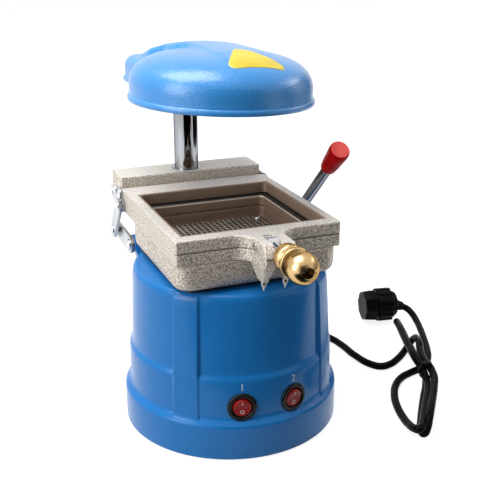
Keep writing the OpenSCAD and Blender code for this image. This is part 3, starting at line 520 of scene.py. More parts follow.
for side in (-1, 1):
    out = Vector((side * math.sin(switch_angle), -math.cos(switch_angle), 0))
    at = out * switch_seat + Vector((0, 0, switch_height))
    switch_out[side], switch_at[side] = out, at
    cut(base, pipe(10, at - out * 30, at + out * 0.01))
    cut(base, pipe(12.3, at, at + out * 10))
dressed(base.data, blue_moulded, 38)
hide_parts("base_shell")

grey_painted = finish("grey paint", (0.09, 0.09, 0.1), (0.12, 0.12, 0.13), 0.4, 0.55, 900, 30, 0.00004)
black_rubber = finish("black rubber", (0.01, 0.01, 0.01), (0.02, 0.02, 0.021), 0.62, 0.8, 1300, 40, 0.00008)
zinc = finish("zinc plated", (0.42, 0.44, 0.46), (0.60, 0.61, 0.62), 0.24, 0.42, 1600, 70, 0.00002, metal=1)
steel = finish("turned steel", (0.35, 0.35, 0.36), (0.48, 0.48, 0.49), 0.25, 0.4, 1700, 60, 0.00002, metal=1)


paint(grey_painted, "base_plate")
paint(black_rubber, "feet")
paint(zinc, "base_screws")


# Switches
# Two round snap-in rocker switches: a black case with a wide lip and a glossy red rocker,
# printed I and O. Plain numbers stand over them.
def turned_ring(profile, sides=72):
    """A closed ring turned from a profile that goes all the way round its section."""
    points, faces = turned(profile + profile[:1], sides)
    return points, faces[:-2]


case_black = finish(
    "switch case black", (0.003, 0.003, 0.003), (0.006, 0.006, 0.006), 0.2, 0.3, 1500, 60, 0.00003, shine=0.2,
)
rocker_red = finish(
    "rocker red", (0.24, 0.002, 0.002), (0.29, 0.003, 0.003), 0.24, 0.3, 800, 60, 0.00001, shine=0.2,
)
print_white = finish("white print", (0.55, 0.53, 0.50), (0.70, 0.68, 0.66), 0.45, 0.6, 1500, 200, 0.00001)
print_pale = finish("pale print", (0.34, 0.42, 0.55), (0.42, 0.50, 0.62), 0.45, 0.6, 1500, 200, 0.00001)
lip_profile = softened([
    (8.4, -8), (8.4, 1.5), (9.3, 2.3), (11, 2.3), (12, 1.3), (12, 0.02), (9.8, 0.02), (9.8, -17), (8.4, -17),
], 0.5, 3)
rocker_slope, ball_radius = math.radians(17), 8.1
number_foot, number_radius = 60.5, 87.1


def rocker_height(y):
    """The rocker's face above its pin: two slopes that meet in a shallow valley."""
    upper = (3 + y * math.sin(rocker_slope)) / math.cos(rocker_slope)
    lower = 3 - y * math.sin(math.radians(1))
    return max(upper, lower) + 0.15 * math.exp(-((y - 0.2) / 0.8) ** 2)


for side, word in ((-1, "left"), (1, "right")):
    out = switch_out[side]
    case_shape = placed(turned_ring(lip_profile), switch_at[side], out)
    bezel, face = f"switch_bezel_{word}", f"switch_rocker_{word}"
    piece(f"switch_case_{word}", case_shape, "base", case_black, stands_for=bezel)
    arc = np.linspace(0.62, math.pi - 0.02, 60)
    ball = turned([(ball_radius * math.sin(t), -ball_radius * math.cos(t)) for t in arc], 80)
    tilted = []
    for x, y, z in ball[0]:
        roof = rocker_height(y)
        tilted.append((x, y, z if z < roof - 0.5 else roof - 0.5 * math.exp(-max(z - roof + 0.5, 0) / 0.5)))
    pin_at, body = switch_at[side] - out * 1.5, f"rocker_{word}"
    piece(body, placed((tilted, ball[1]), pin_at, out), body, rocker_red, 60, stands_for=face)
    bar_way = (0, -math.sin(rocker_slope), math.cos(rocker_slope))
    bar_mark = placed(brick(0.32, 1.5, -0.3, 0.08, 0.25, 0.05, 2), (0, 4.1, rocker_height(4.1)), bar_way)
    ring_line = [(1.15, -0.3), (1.15, 0.08), (1.65, 0.08), (1.65, -0.3)]
    ring_mark = placed(turned_ring(ring_line, 32), (0, -3.9, rocker_height(-3.9)))
    marks = placed(join_parts(bar_mark, ring_mark), pin_at, out)
    piece(f"rocker_marks_{word}", marks, body, print_white)

    text = bpy.data.curves.new("number", "FONT")
    text.body = "1" if side < 0 else "2"
    text.size = 8.6
    text.extrude = 0.12
    text.offset = 0.1
    text.align_x = "CENTER"
    text.resolution_u = 6
    number = shown(bpy.data.objects.new("number", text))
    flat = bpy.data.meshes.new_from_object(number.evaluated_get(bpy.context.evaluated_depsgraph_get()))
    bpy.data.objects.remove(number)
    for vertex in flat.vertices:
        across, height, lift = vertex.co
        angle = side * switch_angle + across / number_radius
        radius = base_radius(math.degrees(angle) + 270, 61) + lift - 0.04
        vertex.co = Vector((radius * math.sin(angle), -radius * math.cos(angle), number_foot + height)) * MM
    settle(f"switch_number_{word}", flat, "base", print_pale)


# Vacuum stage
# A rubber gasket on the deck carries a sand-cast aluminium box. A perforated steel plate lies in
# the box on a ledge, held by a pan-head screw in each corner.
def feed(tree, value, socket):
    """Links a value to a socket, or sets it there when it is a plain number or colour."""
    if hasattr(value, "is_linked"):
        tree.links.new(value, socket)
    elif hasattr(value, "__len__"):
        socket.default_value = (*value, 1)
    else:
        socket.default_value = value


def sums(tree, kind, *values):
    """One step of arithmetic on masks."""
    node = tree.nodes.new("ShaderNodeMath")
    node.operation = kind
    for value, socket in zip(values, node.inputs):
        feed(tree, value, socket)
    return node.outputs[0]


def share_of(tree, value, low, high):
    """A mask that rises from 0 to 1 while a value goes from low to high."""
    node = tree.nodes.new("ShaderNodeMapRange")
    for label, given in (("Value", value), ("From Min", low), ("From Max", high)):
        feed(tree, given, node.inputs[label])
    return node.outputs["Result"]


def axes(tree, place, socket):
    """The three parts of a place or of a face's direction."""
    node = tree.nodes.new("ShaderNodeSeparateXYZ")
    wire(tree, place, socket, node, "Vector")
    return node.outputs


def build_cast():
    """Sand-cast skin: grain, pores and masks for milled faces, inner walls and the joint line, and for a
    painted highlight under the joint and painted shade under the plate.
    """
    inputs = [
        ("Grain", 950), ("Milled", 0.8), ("Half opening", 0.061), ("Opening at", 0.003), ("Seam at", 0.175),
        ("Plate at", 0.1534),
    ]
    outputs = ["Height", "Pores", "Milled face", "Inside", "Seam", "Edge highlight", "Shade under plate"]
    group, given, made = shader_group("sand cast skin", inputs, outputs)
    place = group.nodes.new("ShaderNodeTexCoord")
    coarse = texture(group, "ShaderNodeTexNoise", place, given, "Grain", 5)
    coarse.inputs["Roughness"].default_value = 0.65
    pores = texture(group, "ShaderNodeTexVoronoi", place, given, "Grain")
    facing, spot = axes(group, place, "Normal"), axes(group, place, "Object")
    across = sums(group, "ABSOLUTE", spot["X"])
    along = sums(group, "ABSOLUTE", sums(group, "SUBTRACT", spot["Y"], given.outputs["Opening at"]))
    widest = sums(group, "MAXIMUM", across, along)
    inside = sums(group, "LESS_THAN", widest, given.outputs["Half opening"])
    # Painted shade: inside the box, below the plate's height, the colour is taken near black as if no light
    # got in.
    shaded_below = sums(group, "LESS_THAN", spot["Z"], given.outputs["Plate at"])
    over_seam = sums(group, "SUBTRACT", spot["Z"], given.outputs["Seam at"])
    sides = sums(group, "MAXIMUM", sums(group, "ABSOLUTE", facing["Y"]), inside)
    # The joint gets a dark line; just under it, inside the frames, a thin band in the light tone is a painted
    # highlight along the lower frame's edge.
    for line, centre, where in (("Seam", 0, sides), ("Edge highlight", -0.0016, inside)):
        apart = sums(group, "ABSOLUTE", sums(group, "SUBTRACT", over_seam, centre))
        band = share_of(group, apart, 0.0009, 0.0003)
        feed(group, sums(group, "MULTIPLY", band, where), made.inputs[line])
    feed(group, inside, made.inputs["Inside"])
    feed(group, sums(group, "MULTIPLY", shaded_below, inside), made.inputs["Shade under plate"])
    feed(group, share_of(group, facing["Z"], given.outputs["Milled"], 1), made.inputs["Milled face"])
    wire(group, coarse, "Fac", made, "Height")
    wire(group, pores, "Distance", made, "Pores")
    return group


cast_group = build_cast()


def mixed(tree, factor, first, second):
    """A colour between two, by a mask."""
    node = tree.nodes.new("ShaderNodeMix")
    node.data_type = "RGBA"
    for label, value in (("Factor", factor), ("A", first), ("B", second)):
        feed(tree, value, node.inputs[label])
    return node.outputs["Result"]


def cast_finish(name, dark, light, milled, stain_and_shade):
    """Sand-cast aluminium: grained skin, small pores, lighter flat faces, inner walls browned by heat stain
    and darkened by painted shade.
    """
    material, tree, bsdf = surface(name)
    cast = tree.nodes.new("ShaderNodeGroup")
    cast.node_tree = cast_group
    cast.inputs["Seam at"].default_value = min(v.co.z for v in nodes["upper_frame"].data.vertices)
    mask = cast.outputs

    def tones(low, high, start, end, source="Height"):
        """Two tones blended by one of the skin's heights."""
        return ramp(tree, cast, source, low, high, start, end).outputs["Color"]

    shade = tones(dark, light, 0.35, 0.59)
    shade = mixed(tree, mask["Milled face"], shade, tones([0.62 * c for c in milled], milled, 0.36, 0.52))
    # Inner walls: brown heat stain, made darker with painted shade for the recess.
    shade = mixed(tree, mask["Inside"], shade, tones([0.7 * c for c in stain_and_shade], stain_and_shade, 0.3, 0.7))
    shade = mixed(tree, tones(1, 0, 0.06, 0.22, "Pores"), shade, dark)
    shade = mixed(tree, mask["Seam"], shade, (0.02, 0.017, 0.014))
    # Painted highlight: a thin band in the light cast tone just under the joint, inside the frames.
    shade = mixed(tree, mask["Edge highlight"], shade, light)
    # Painted shade: near black under the perforated plate inside the box.
    shade = mixed(tree, mask["Shade under plate"], shade, (0.006, 0.005, 0.004))
    feed(tree, shade, bsdf.inputs["Base Color"])
    feed(tree, tones(0.66, 0.42, 0.3, 0.7), bsdf.inputs["Roughness"])
    bsdf.inputs["Metallic"].default_value = 0.45
    bump(tree, bsdf, cast, 0.0005)
    return material


def gasket_and_shadow_outline(inset):
    """The box's foot in plan, widened well past the box to stand also for the shadow under it, cut round
    where the deck ends.
    """
    plan = [(x, y - 3.4) for x, y in round_plan(70.5 - inset, 66 - inset, 9, 12)]
    kept = [min(1, (80.5 - inset) / math.hypot(x, y)) for x, y in plan]
    return [(x * k, y * k) for k, (x, y) in zip(kept, plan)]


gasket_and_shadow_rings, gasket_hole = [], 50.5
for inset, height in ((0.4, 0), (0, 0.4), (0, 2.3), (0.6, 2.9)):
    gasket_and_shadow_rings.append([(x, y, deck_z + height) for x, y in gasket_and_shadow_outline(inset)])
for height in (2.9, 0):
    inner = [(x, y, gasket_hole / math.hypot(x, y)) for x, y in gasket_and_shadow_outline(0)]
    gasket_and_shadow_rings.append([(x * k, y * k, deck_z + height) for x, y, k in inner])
gasket_and_shadow_sheet = loft(gasket_and_shadow_rings + gasket_and_shadow_rings[:1], False)
# Painted shadow: the black rubber sheet is the gasket and also reaches past the box's foot as the shadow in
# the gap under the box.
piece("deck_gasket_sheet", gasket_and_shadow_sheet, "base", black_rubber, stands_for="deck_gasket")

cast_frame = cast_finish(
    "cast aluminium", (0.12, 0.102, 0.084), (0.90, 0.82, 0.72), (0.76, 0.71, 0.66), (0.38, 0.27, 0.19),
)
cast_box = cast_finish(
    "heat stained and shaded aluminium", (0.11, 0.094, 0.077), (0.86, 0.77, 0.67), (0.7, 0.65, 0.6), (0.36, 0.25, 0.18),
)


def melted(thing, voxel, factor, rounds):
    """Fuses a piece's shapes into one skin with eased corners."""
    melt = thing.modifiers.new("melt", "REMESH")
    melt.mode = "VOXEL"
    melt.voxel_size = voxel * MM
    ease = thing.modifiers.new("ease", "SMOOTH")
    ease.factor = factor
    ease.iterations = rounds
    keep_changes(thing)


def sand_cast(node, body, material, voxel, rough):
    """A cast piece from its frame shape: edges worn round and a faintly uneven skin."""
    name = f"{node}_casting"
    work = bmesh.new()
    work.from_mesh(nodes[node].data)
    bmesh.ops.remove_doubles(work, verts=work.verts, dist=0.000005)
    mesh = bpy.data.meshes.new(name)
    work.to_mesh(mesh)
    work.free()
    cast = shown(bpy.data.objects.new(name, mesh))
    melted(cast, voxel, 0.5, 3)
    skin = [(vertex.co.copy(), vertex.normal.copy()) for vertex in cast.data.vertices]
    shifted = []
    for at, out in skin:
        lump = noise.noise(at * 420) + 0.6 * noise.noise(at * 900) if out.z < 0.9 else 0
        shifted += list(at + out * lump * rough * MM)
    cast.data.vertices.foreach_set("co", shifted)
    cast.data.update()
    dressed(cast.data, material)
    cast.data.shade_smooth()
    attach(cast, body)
    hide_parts(node)


sand_cast("vacuum_box", "base", cast_box, 1.1, 0.16)


def shade_hole_walls(material, painted_shade):
    """Leaves a material as it is on faces that look up, and gives the hole walls and the underside near-black
    painted shade.
    """
    tree = material.node_tree
    colour = tree.nodes["Principled BSDF"].inputs["Base Color"]
    flat_face = share_of(tree, axes(tree, tree.nodes.new("ShaderNodeTexCoord"), "Normal")["Z"], 0.5, 0.9)
    feed(tree, mixed(tree, flat_face, painted_shade, colour.links[0].from_socket), colour)


sheet_steel = finish(
    "perforated steel", (0.44, 0.37, 0.31), (0.58, 0.50, 0.43), 0.4, 0.55, 1500, 50, 0.00002, metal=0.3,
)
# Painted shade: near-black colour on the plate's hole walls and underside, so that the holes look dark.
shade_hole_walls(sheet_steel, (0.012, 0.01, 0.008))


def cell_shape(pitch, hole, thickness):
    """One square of the plate with a round hole through it."""
    half = pitch / 2
    compass = ((1, 0), (1, 1), (0, 1), (-1, 1), (-1, 0), (-1, -1), (0, -1), (1, -1))
    rim, ring = [(half * x, half * y) for x, y in compass], circle(hole, 8)
    levels = ((rim, -thickness), (ring, -thickness), (ring, 0), (rim, 0))
    points, faces = loft([[(x, y, z) for x, y in plan] for plan, z in levels], False)
    return [Vector(p) * MM for p in points], [face[::-1] for face in faces]


def build_perforation():
    """A square grid of copies of one cell, all in one material."""
    tree = bpy.data.node_groups.new("perforation", "GeometryNodeTree")
    kinds = {"Geometry": "Geometry", "Side": "Float", "Rows": "Int", "Cell": "Object", "Material": "Material"}
    for label, kind in kinds.items():
        tree.interface.new_socket(label, in_out="INPUT", socket_type=f"NodeSocket{kind}")
    tree.interface.new_socket("Geometry", in_out="OUTPUT", socket_type="NodeSocketGeometry")
    given, made = tree.nodes.new("NodeGroupInput"), tree.nodes.new("NodeGroupOutput")
    grid, cell_info, stamp, real, coat = (tree.nodes.new(f"GeometryNode{kind}") for kind in (
        "MeshGrid", "ObjectInfo", "InstanceOnPoints", "RealizeInstances", "SetMaterial",
    ))
    for axis in "XY":
        wire(tree, given, "Side", grid, f"Size {axis}")
        wire(tree, given, "Rows", grid, f"Vertices {axis}")
    wire(tree, given, "Cell", cell_info, "Object")
    wire(tree, grid, "Mesh", stamp, "Points")
    wire(tree, cell_info, "Geometry", stamp, "Instance")
    wire(tree, stamp, "Instances", real, "Geometry")
    wire(tree, real, "Geometry", coat, "Geometry")
    wire(tree, given, "Material", coat, "Material")
    wire(tree, coat, "Geometry", made, "Geometry")
    return tree


hole_pitch, hole_rows, plate_top, opening_at = 4.8, 22, 155.0, Vector((0, 3, 0))
cell_mesh = bpy.data.meshes.new("cell")
cell_points, cell_faces = cell_shape(hole_pitch, 1.8, 1.5)
cell_mesh.from_pydata(cell_points, [], cell_faces)
cell = shown(bpy.data.objects.new("cell", cell_mesh))
grid_tree = build_perforation()
values = {"Side": hole_pitch * (hole_rows - 1) * MM, "Rows": hole_rows, "Cell": cell, "Material": sheet_steel}
holder = shown(bpy.data.objects.new("holder", bpy.data.meshes.new("perforated_plate_mesh")))
grow = holder.modifiers.new("grow", "NODES")
grow.node_group = grid_tree
for socket in grid_tree.interface.items_tree:
    if socket.name in values:
        grow[socket.identifier] = values[socket.name]
keep_changes(holder)
perforated = settle("perforated_plate_mesh", holder.data, "base", sheet_steel, 30)
bpy.data.objects.remove(holder)
bpy.data.objects.remove(cell)
perforated.data.transform(Matrix.Translation((opening_at + Vector((0, 0, plate_top))) * MM))
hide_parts("perforated_plate")


def pan_head(head, height, shank, length, rise=0.65, steps=7, sides=28):
    """A turned pin with a domed head, its head's underside at the origin."""
    dome = []
    for t in np.linspace(0, math.pi / 2, steps)[:-1]:
        dome.append((head * math.cos(t), height * (1 - rise) + height * rise * math.sin(t)))
    return turned([(shank, -length), (shank, 0), (head, 0)] + dome + [(0.01, height)], sides)


bright_zinc = finish(
    "bright zinc", (0.62, 0.63, 0.64), (0.78, 0.78, 0.78), 0.14, 0.26, 1600, 90, 0.00001, metal=1,
)
corners = [opening_at + Vector((x, y, plate_top)) for x in (-46, 46) for y in (-46, 46)]
head_r, head_h = 3.2, 2.2
screw = pan_head(head_r, head_h, 1.5, 9)
screw_heads = join_parts(*[placed(screw, at) for at in corners])
plate_screws = piece("plate_screws_pan", screw_heads, "base", bright_zinc, 50)
groove = block((-head_r * 0.55, -head_r * 0.11, head_h * 0.55), (head_r * 0.55, head_r * 0.11, head_h * 2))
for at in corners:
    for turn in (25, 115):
        cut(plate_screws, placed(groove, at, turn=turn))
dressed(plate_screws.data, bright_zinc, 40)
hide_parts("plate_screws")


# Motor and fan
# Under the deck a painted can motor hangs in a rubber mount. Its steel shaft turns a sheet-metal
# fan wheel in a sheet-metal housing. The ceramic terminal block beside it takes the cord.
aluminium_sheet = finish(
    "fan sheet metal", (0.50, 0.50, 0.51), (0.62, 0.62, 0.63), 0.28, 0.42, 1500, 50, 0.00001, metal=1,
)
ivory = finish("ivory ceramic", (0.62, 0.57, 0.46), (0.70, 0.66, 0.56), 0.6, 0.8, 900, 50, 0.00006)
paint(aluminium_sheet, "fan_housing", "impeller")
paint(grey_painted, "motor_can")
paint(black_rubber, "motor_mount")
paint(steel, "motor_shaft", "post_bolts")
paint(ivory, "terminal_block")


# Post
# A polished chrome tube stands in a steel socket under the housing's shelf. A collar under the
# head keeps the head at its height.
def bright_finish(name, colour, edge, rough_low, rough_high):
    """Polished metal with faint smears, and its own tone at grazing angles."""
    material, tree, bsdf = surface(name)
    skin = relief(tree, 1800, 55)
    wire(tree, ramp(tree, skin, "Patch", rough_low, rough_high), "Color", bsdf, "Roughness")
    bsdf.inputs["Base Color"].default_value = (*colour, 1)
    bsdf.inputs["Specular Tint"].default_value = (*edge, 1)
    bsdf.inputs["Metallic"].default_value = 1
    bump(tree, bsdf, skin, 0.000004)
    return material


chrome = bright_finish("chrome", (0.34, 0.35, 0.375), (0.22, 0.24, 0.28), 0.05, 0.11)
post_line = softened([(0, 50), (11, 50), (11, 294), (0, 294)], 1)
post_shape = placed(turned(post_line, 96), (0, post_y, 0))
piece("post_tube", post_shape, "base", chrome, 30, stands_for="post")
paint(grey_painted, "post_socket")
paint(zinc, "post_collar", "head_sleeve")


# Lever and cranks
# The lever turns a steel shaft in two bronze bushes. A crank plate at each end of the shaft lifts
# the bar through a link. The chrome rod carries a moulded red grip with a flat end.
bronze = finish(
    "sintered bronze", (0.34, 0.20, 0.09), (0.46, 0.29, 0.14), 0.35, 0.5, 1600, 80, 0.00003, metal=1,
)
red_moulded = finish(
    "red moulded", (0.40, 0.002, 0.003), (0.46, 0.003, 0.005), 0.24, 0.34, 700, 30, 0.00003, shine=0.05,
)
# Painted light: the grip's flat end is a much lighter copy of the grip's red, for the light that falls on it.
red_end_lit = finish(
    "lit red end face", (0.92, 0.10, 0.09), (0.98, 0.15, 0.13), 0.45, 0.55, 900, 90, 0.00003, shine=0.1,
)
paint(bronze, "shaft_bushes")
paint(steel, "lever_shaft", "post_bush")
paint(zinc, "crank_left", "crank_right", "link_left", "link_right")
lever_way = Vector((0, -math.cos(math.radians(44)), math.sin(math.radians(44))))
lever_foot = shaft_at + Vector((87, 0, 0))


def rivet(shank, length, head, height):
    """A pin with a full domed head."""
    return pan_head(head, height, shank, length, 0.75, 9, 36)


hub_line = softened([(0, -7.5), (9, -7.5), (9, 7.5), (0, 7.5)], 1.2)
hub = placed(turned(hub_line, 48), lever_foot, (1, 0, 0))
piece("lever_hub_boss", hub, "lever", zinc, stands_for="lever_hub")
rod_shape = placed(turned([(4.6, 8.6), (4.6, 118.6)], 64), lever_foot, lever_way)
piece("lever_rod_bar", rod_shape, "lever", chrome, 30, stands_for="lever_rod")
grip_line = [
    (4.7, 104), (6, 104), (6.8, 104.8), (7.2, 108), (7.7, 111.5), (8.1, 116.5), (8.4, 121.5), (8.7, 125),
    (8.9, 127.5), (8.9, 130.5), (8.7, 132.2), (8.3, 133.2), (7.9, 133.4), (0.01, 133.4),
]
grip_shape = placed(turned(softened(grip_line, 1.2), 72), lever_foot, lever_way)
lever_grip = piece("lever_grip_moulding", grip_shape, "lever", red_moulded)
end_line = softened([(0, 133), (7.9, 133), (7.8, 133.7), (7.4, 134), (0, 134)], 0.3)
end_shape = placed(turned(end_line, 64), lever_foot, lever_way)
piece("lever_grip_end", end_shape, "lever", red_end_lit, stands_for="lever_grip")
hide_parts("lever_grip")
screw_shape = placed(rivet(4.9, 0.1, 4.2, 2.2), shaft_at - Vector((69.3, 0, 0)), (-1, 0, 0))
piece("crank_screw_head", screw_shape, "lever", bright_zinc, stands_for="crank_screw")
crank_pin, upper_pin = Vector((0, 107.975, 140.404)), Vector((0, 84, 170.4))
for side, word in ((-1, "left"), (1, "right")):
    way = Vector((side, 0, 0))
    pins = join_parts(
        placed(rivet(3, 7.2, 4.6, 2.4), crank_pin + way * 74.2, way),
        pipe(5, crank_pin + way * 69.5, crank_pin + way * 71.7, 36),
        placed(rivet(2.5, 5.4, 3.7, 1.8), upper_pin + way * 74.2, way),
    )
    piece(f"link_rivets_{word}", pins, f"link_{word}", bright_zinc, stands_for=f"link_pins_{word}")


# Clamping frames
# Three aluminium sand castings: the bar that slides on the post, the lower frame bolted to it, and
# the hinged upper frame. Zinc-plated side brackets tie the bar to the hinge.
for casting, body in (("upper_frame", "upper_frame"), ("lower_frame", "carrier"), ("rear_bar", "carrier")):
    sand_cast(casting, body, cast_frame, 0.9, 0.13)
paint(zinc, "bracket_left", "bracket_right", "frame_bolts")
paint(steel, "prong_tips")
bracket_holes = [Vector((0, 117, 175.5)), Vector((0, 102.65, 180.5))]
bracket_pins = []
for side in (-1, 1):
    way = Vector((side, 0, 0))
    bracket_pins += [placed(rivet(2, 14, 3.8, 2.4), hole + way * 70.7, way) for hole in bracket_holes]
bracket_heads = join_parts(*bracket_pins)
piece("bracket_screw_heads", bracket_heads, "carrier", bright_zinc, stands_for="bracket_screws")
paint(bright_zinc, "hinge_screws", "clamp_pin", "clamp_washer")


# Clamp
# A steel eye bolt swings in the tongues of both frames. The polished brass knob on its thread
# has a fluted neck, a flange, a groove and a ball with the bolt's bore in its end.
brass = bright_finish("polished brass", (0.62, 0.42, 0.20), (0.72, 0.54, 0.32), 0.22, 0.31)
bolt_foot, bolt_way = Vector((2, -84, 179)), Vector((0, -1, 0))
thread_line = [(4, 6), (4, 16)]
for turn in range(32):
    s = 16 + turn * 1.25
    thread_line += [(3.35, s + 0.35), (4, s + 0.95)]
thread_line += [(3.4, 56.5), (2.8, 57)]
eye = turned_ring(softened([(2.05, -4.2), (2.05, 4.2), (6.5, 4.2), (6.5, -4.2)], 0.5), 48)
bolt_shape = join_parts(
    placed(eye, bolt_foot, (1, 0, 0)), placed(turned(thread_line, 40), bolt_foot, bolt_way),
)
piece("eye_bolt_steel", bolt_shape, "clamp_bolt", bright_zinc, stands_for="eye_bolt")


def fluted(profile, sides, flutes, depth, low, high):
    """A turned shape with fine flutes round part of its height."""
    rings = []
    for radius, height in profile:
        cut_in = depth if low <= height <= high else 0
        ring = []
        for t in np.linspace(0, 2 * math.pi, sides, False):
            wavy = radius - cut_in * (0.5 + 0.5 * math.cos(flutes * t))
            ring.append((wavy * math.cos(t), wavy * math.sin(t), height))
        rings.append(ring)
    return loft(rings + rings[:1], False)


knob_line = [(4.1, 25), (8.6, 25), (9.3, 25.4), (10, 26.2), (10.3, 27)]
knob_line += [(10.3 + 0.5 * math.sin(t), 27 + 6 * t / math.pi) for t in np.linspace(0.1, math.pi - 0.1, 10)]
knob_line += [
    (10.1, 33.6), (9.2, 34.6), (8.2, 35.4), (7.8, 36.4), (7.6, 39.6), (8, 40.4), (9.4, 40.9), (11.2, 41),
    (11.8, 41.4), (12, 42), (12, 43.6), (11.7, 44.1), (11.1, 44.4), (10.7, 44.6), (10.7, 45.2), (11.1, 45.5),
]
knob_line += [(12 * math.cos(t), 54 + 12 * math.sin(t)) for t in np.linspace(-0.68, 1.1, 30)]
knob_line += [(5, 65), (4.4, 65.3), (4.1, 65)]
knob_shape = placed(fluted(knob_line, 288, 72, 0.22, 27.2, 33.2), bolt_foot, bolt_way)
piece("brass_knob", knob_shape, "knob", brass, 40, stands_for="clamp_knob")


# Heater head
# A cast shell with a low dome, a broad raised ridge over its middle and a tail over the post. Its
# blue orange-peel powder coat runs over a rolled rim. A blank yellow label sits on the ridge.
def orange_peel(name, low, high):
    """Powder coat: fine orange peel under a thin clear gloss."""
    material, tree, bsdf = surface(name)
    skin = relief(tree, 620, 12)
    wire(tree, ramp(tree, skin, "Patch", low, high), "Color", bsdf, "Base Color")
    wire(tree, ramp(tree, skin, "Patch", 0.24, 0.32), "Color", bsdf, "Roughness")
    bump(tree, bsdf, skin, 0.00032)
    bsdf.inputs["Coat Weight"].default_value = 0.35
    bsdf.inputs["Coat Roughness"].default_value = 0.2
    return material


blue_coat = orange_peel("blue powder coat", (0.030, 0.245, 0.62), (0.036, 0.27, 0.67))
rim_z, dome_y, dome_radius = 270, 15.6, 74.2


def dome_shape(radius, height, wall):
    """A flat-topped domed solid on its wall, from its floor up."""
    line = [(radius + 0.4, 0), (radius, wall * 0.6)]
    for t in np.linspace(0, math.pi / 2, 40)[:-1]:
        line.append((radius * math.cos(t) ** 0.6, wall + (height - wall) * math.sin(t) ** 0.87))
    return turned(line + [(0.01, height)], 120)


def swollen(half_w, half_d, height, corner, top_inset, wall):
    """A solid with a round-cornered plan whose sides roll over to a flat top."""
    rings = [[(x, y, 0) for x, y in round_plan(half_w, half_d, corner)]]
    for t in np.linspace(0, math.pi / 2, 15):
        inset = top_inset * (1 - math.cos(t))
        plan = round_plan(half_w - inset, half_d - inset, max(corner - inset * 0.4, 3))
        rings.append([(x, y, wall + (height - wall) * math.sin(t)) for x, y in plan])
    return loft(rings)


def ridge_shape():
    """The raised band from the tail to the front, which opens out over the post."""
    rings = []
    stations = (
        (-44, -8, 26, 31.4, 31.6, 28.4), (-36, -15.5, 33, 35.7, 36.7, 32), (-26, -16.5, 37, 38.6, 39.4, 35),
        (-8, -15, 37, 41.2, 41.9, 38.6), (10, -14, 35, 41.8, 42.3, 40.2), (38, -12.5, 33, 42, 42.5, 40.4),
        (56, -14.5, 33, 41.4, 42.3, 40), (66, -20, 34, 41, 42, 39.4), (76, -29, 36, 38.6, 40.2, 38),
        (92, -37, 38, 33.6, 36.4, 33.8), (112, -38, 38, 27.4, 30.6, 28), (128, -37, 37, 21, 24.4, 21.8),
        (138, -34, 34, 12, 16, 12.6),
    )
    for y, left, right, low, middle, other in stations:
        bow = 2 * middle - (low + other) / 2
        section = [(left - 3.4, 2), (left - 2.6, low - 8), (left - 0.9, low - 1.7), (left + 1.6, low)]
        for t in np.linspace(0, 1, 11)[1:-1]:
            x = left + 1.6 + t * (right - left - 3.2)
            section.append((x, (1 - t) ** 2 * low + 2 * t * (1 - t) * bow + t * t * other))
        section += [(right - 1.6, other), (right + 0.9, other - 1.7), (right + 2.6, other - 8)]
        section.append((right + 3.4, 2))
        rings.append([(x, y, z) for x, z in section])
    return loft(rings)


def leaning(x, z):
    """The head hangs a little higher on its left."""
    return z + 1.0 - 0.037 * x


head_parts = join_parts(
    raised(dome_shape(dome_radius, 39.6, 12), (0, dome_y, rim_z)),
    raised(swollen(50, 44, 23.5, 16, 9, 13), (0, 101, rim_z)),
)
head = piece("head_casting", head_parts, None, blue_coat)
melted(head, 1.5, 0.6, 9)
ridge = piece("ridge", raised(ridge_shape(), (0, 0, rim_z)), None, blue_coat)
melted(ridge, 1.2, 0.5, 3)
work = bmesh.new()
work.from_mesh(head.data)
work.from_mesh(ridge.data)
work.to_mesh(head.data)
work.free()
bpy.data.objects.remove(ridge)
melted(head, 1.1, 0.5, 3)
work = bmesh.new()
work.from_mesh(head.data)
bmesh.ops.bisect_plane(
    work, geom=work.verts[:] + work.edges[:] + work.faces[:], plane_co=(0, 0, (rim_z + 1.2) * MM),
    plane_no=(0, 0, -1), clear_outer=True,
)
work.to_mesh(head.data)
work.free()
leant = []
for vertex in head.data.vertices:
    x, y, z = vertex.co / MM
    leant += [x * MM, y * MM, leaning(x, z) * MM]
head.data.vertices.foreach_set("co", leant)
head.data.update()
head.data.shade_smooth()
wall = head.modifiers.new("wall", "SOLIDIFY")
wall.thickness = 3 * MM
wall.offset = -1
keep_changes(head)


def head_plan(grow):
    """The head's outline in plan: the dome's circle joined to the tail."""
    outline = []
    radius, half_w, back, corner = (size + grow for size in (dome_radius, 50, 145, 16))
    meet = math.acos(half_w / radius)
    for t in np.linspace(-math.pi - meet, meet, 90):
        outline.append((radius * math.cos(t), dome_y + radius * math.sin(t)))
    for quarter in (0, 1):
        for k in range(9):
            t = math.pi / 2 * (quarter + k / 8)
            cx = (half_w - corner) * (1 if quarter == 0 else -1)
            outline.append((cx + corner * math.cos(t), back - corner + corner * math.sin(t)))
    return outline


rim_section = [(-2.4, 0), (0.9, 0), (1.5, 0.6), (1.6, 2.6), (1.2, 4), (0.3, 4.9), (-1, 5.2), (-2.4, 5)]
rim_rings = [[(x, y, leaning(x, rim_z + z)) for x, y in head_plan(grow)] for grow, z in rim_section]
rim = piece("head_rim", loft(rim_rings + rim_rings[:1], False), "head", blue_coat, 60)
dressed(head.data, blue_coat)
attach(head, "head")
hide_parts("head_shell")
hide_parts("head_shell")

label_yellow = finish("yellow label", (0.70, 0.52, 0.03), (0.78, 0.60, 0.05), 0.35, 0.5, 900, 60, 0.00002)
tree_of_head = BVHTree.FromObject(head, bpy.context.evaluated_depsgraph_get())


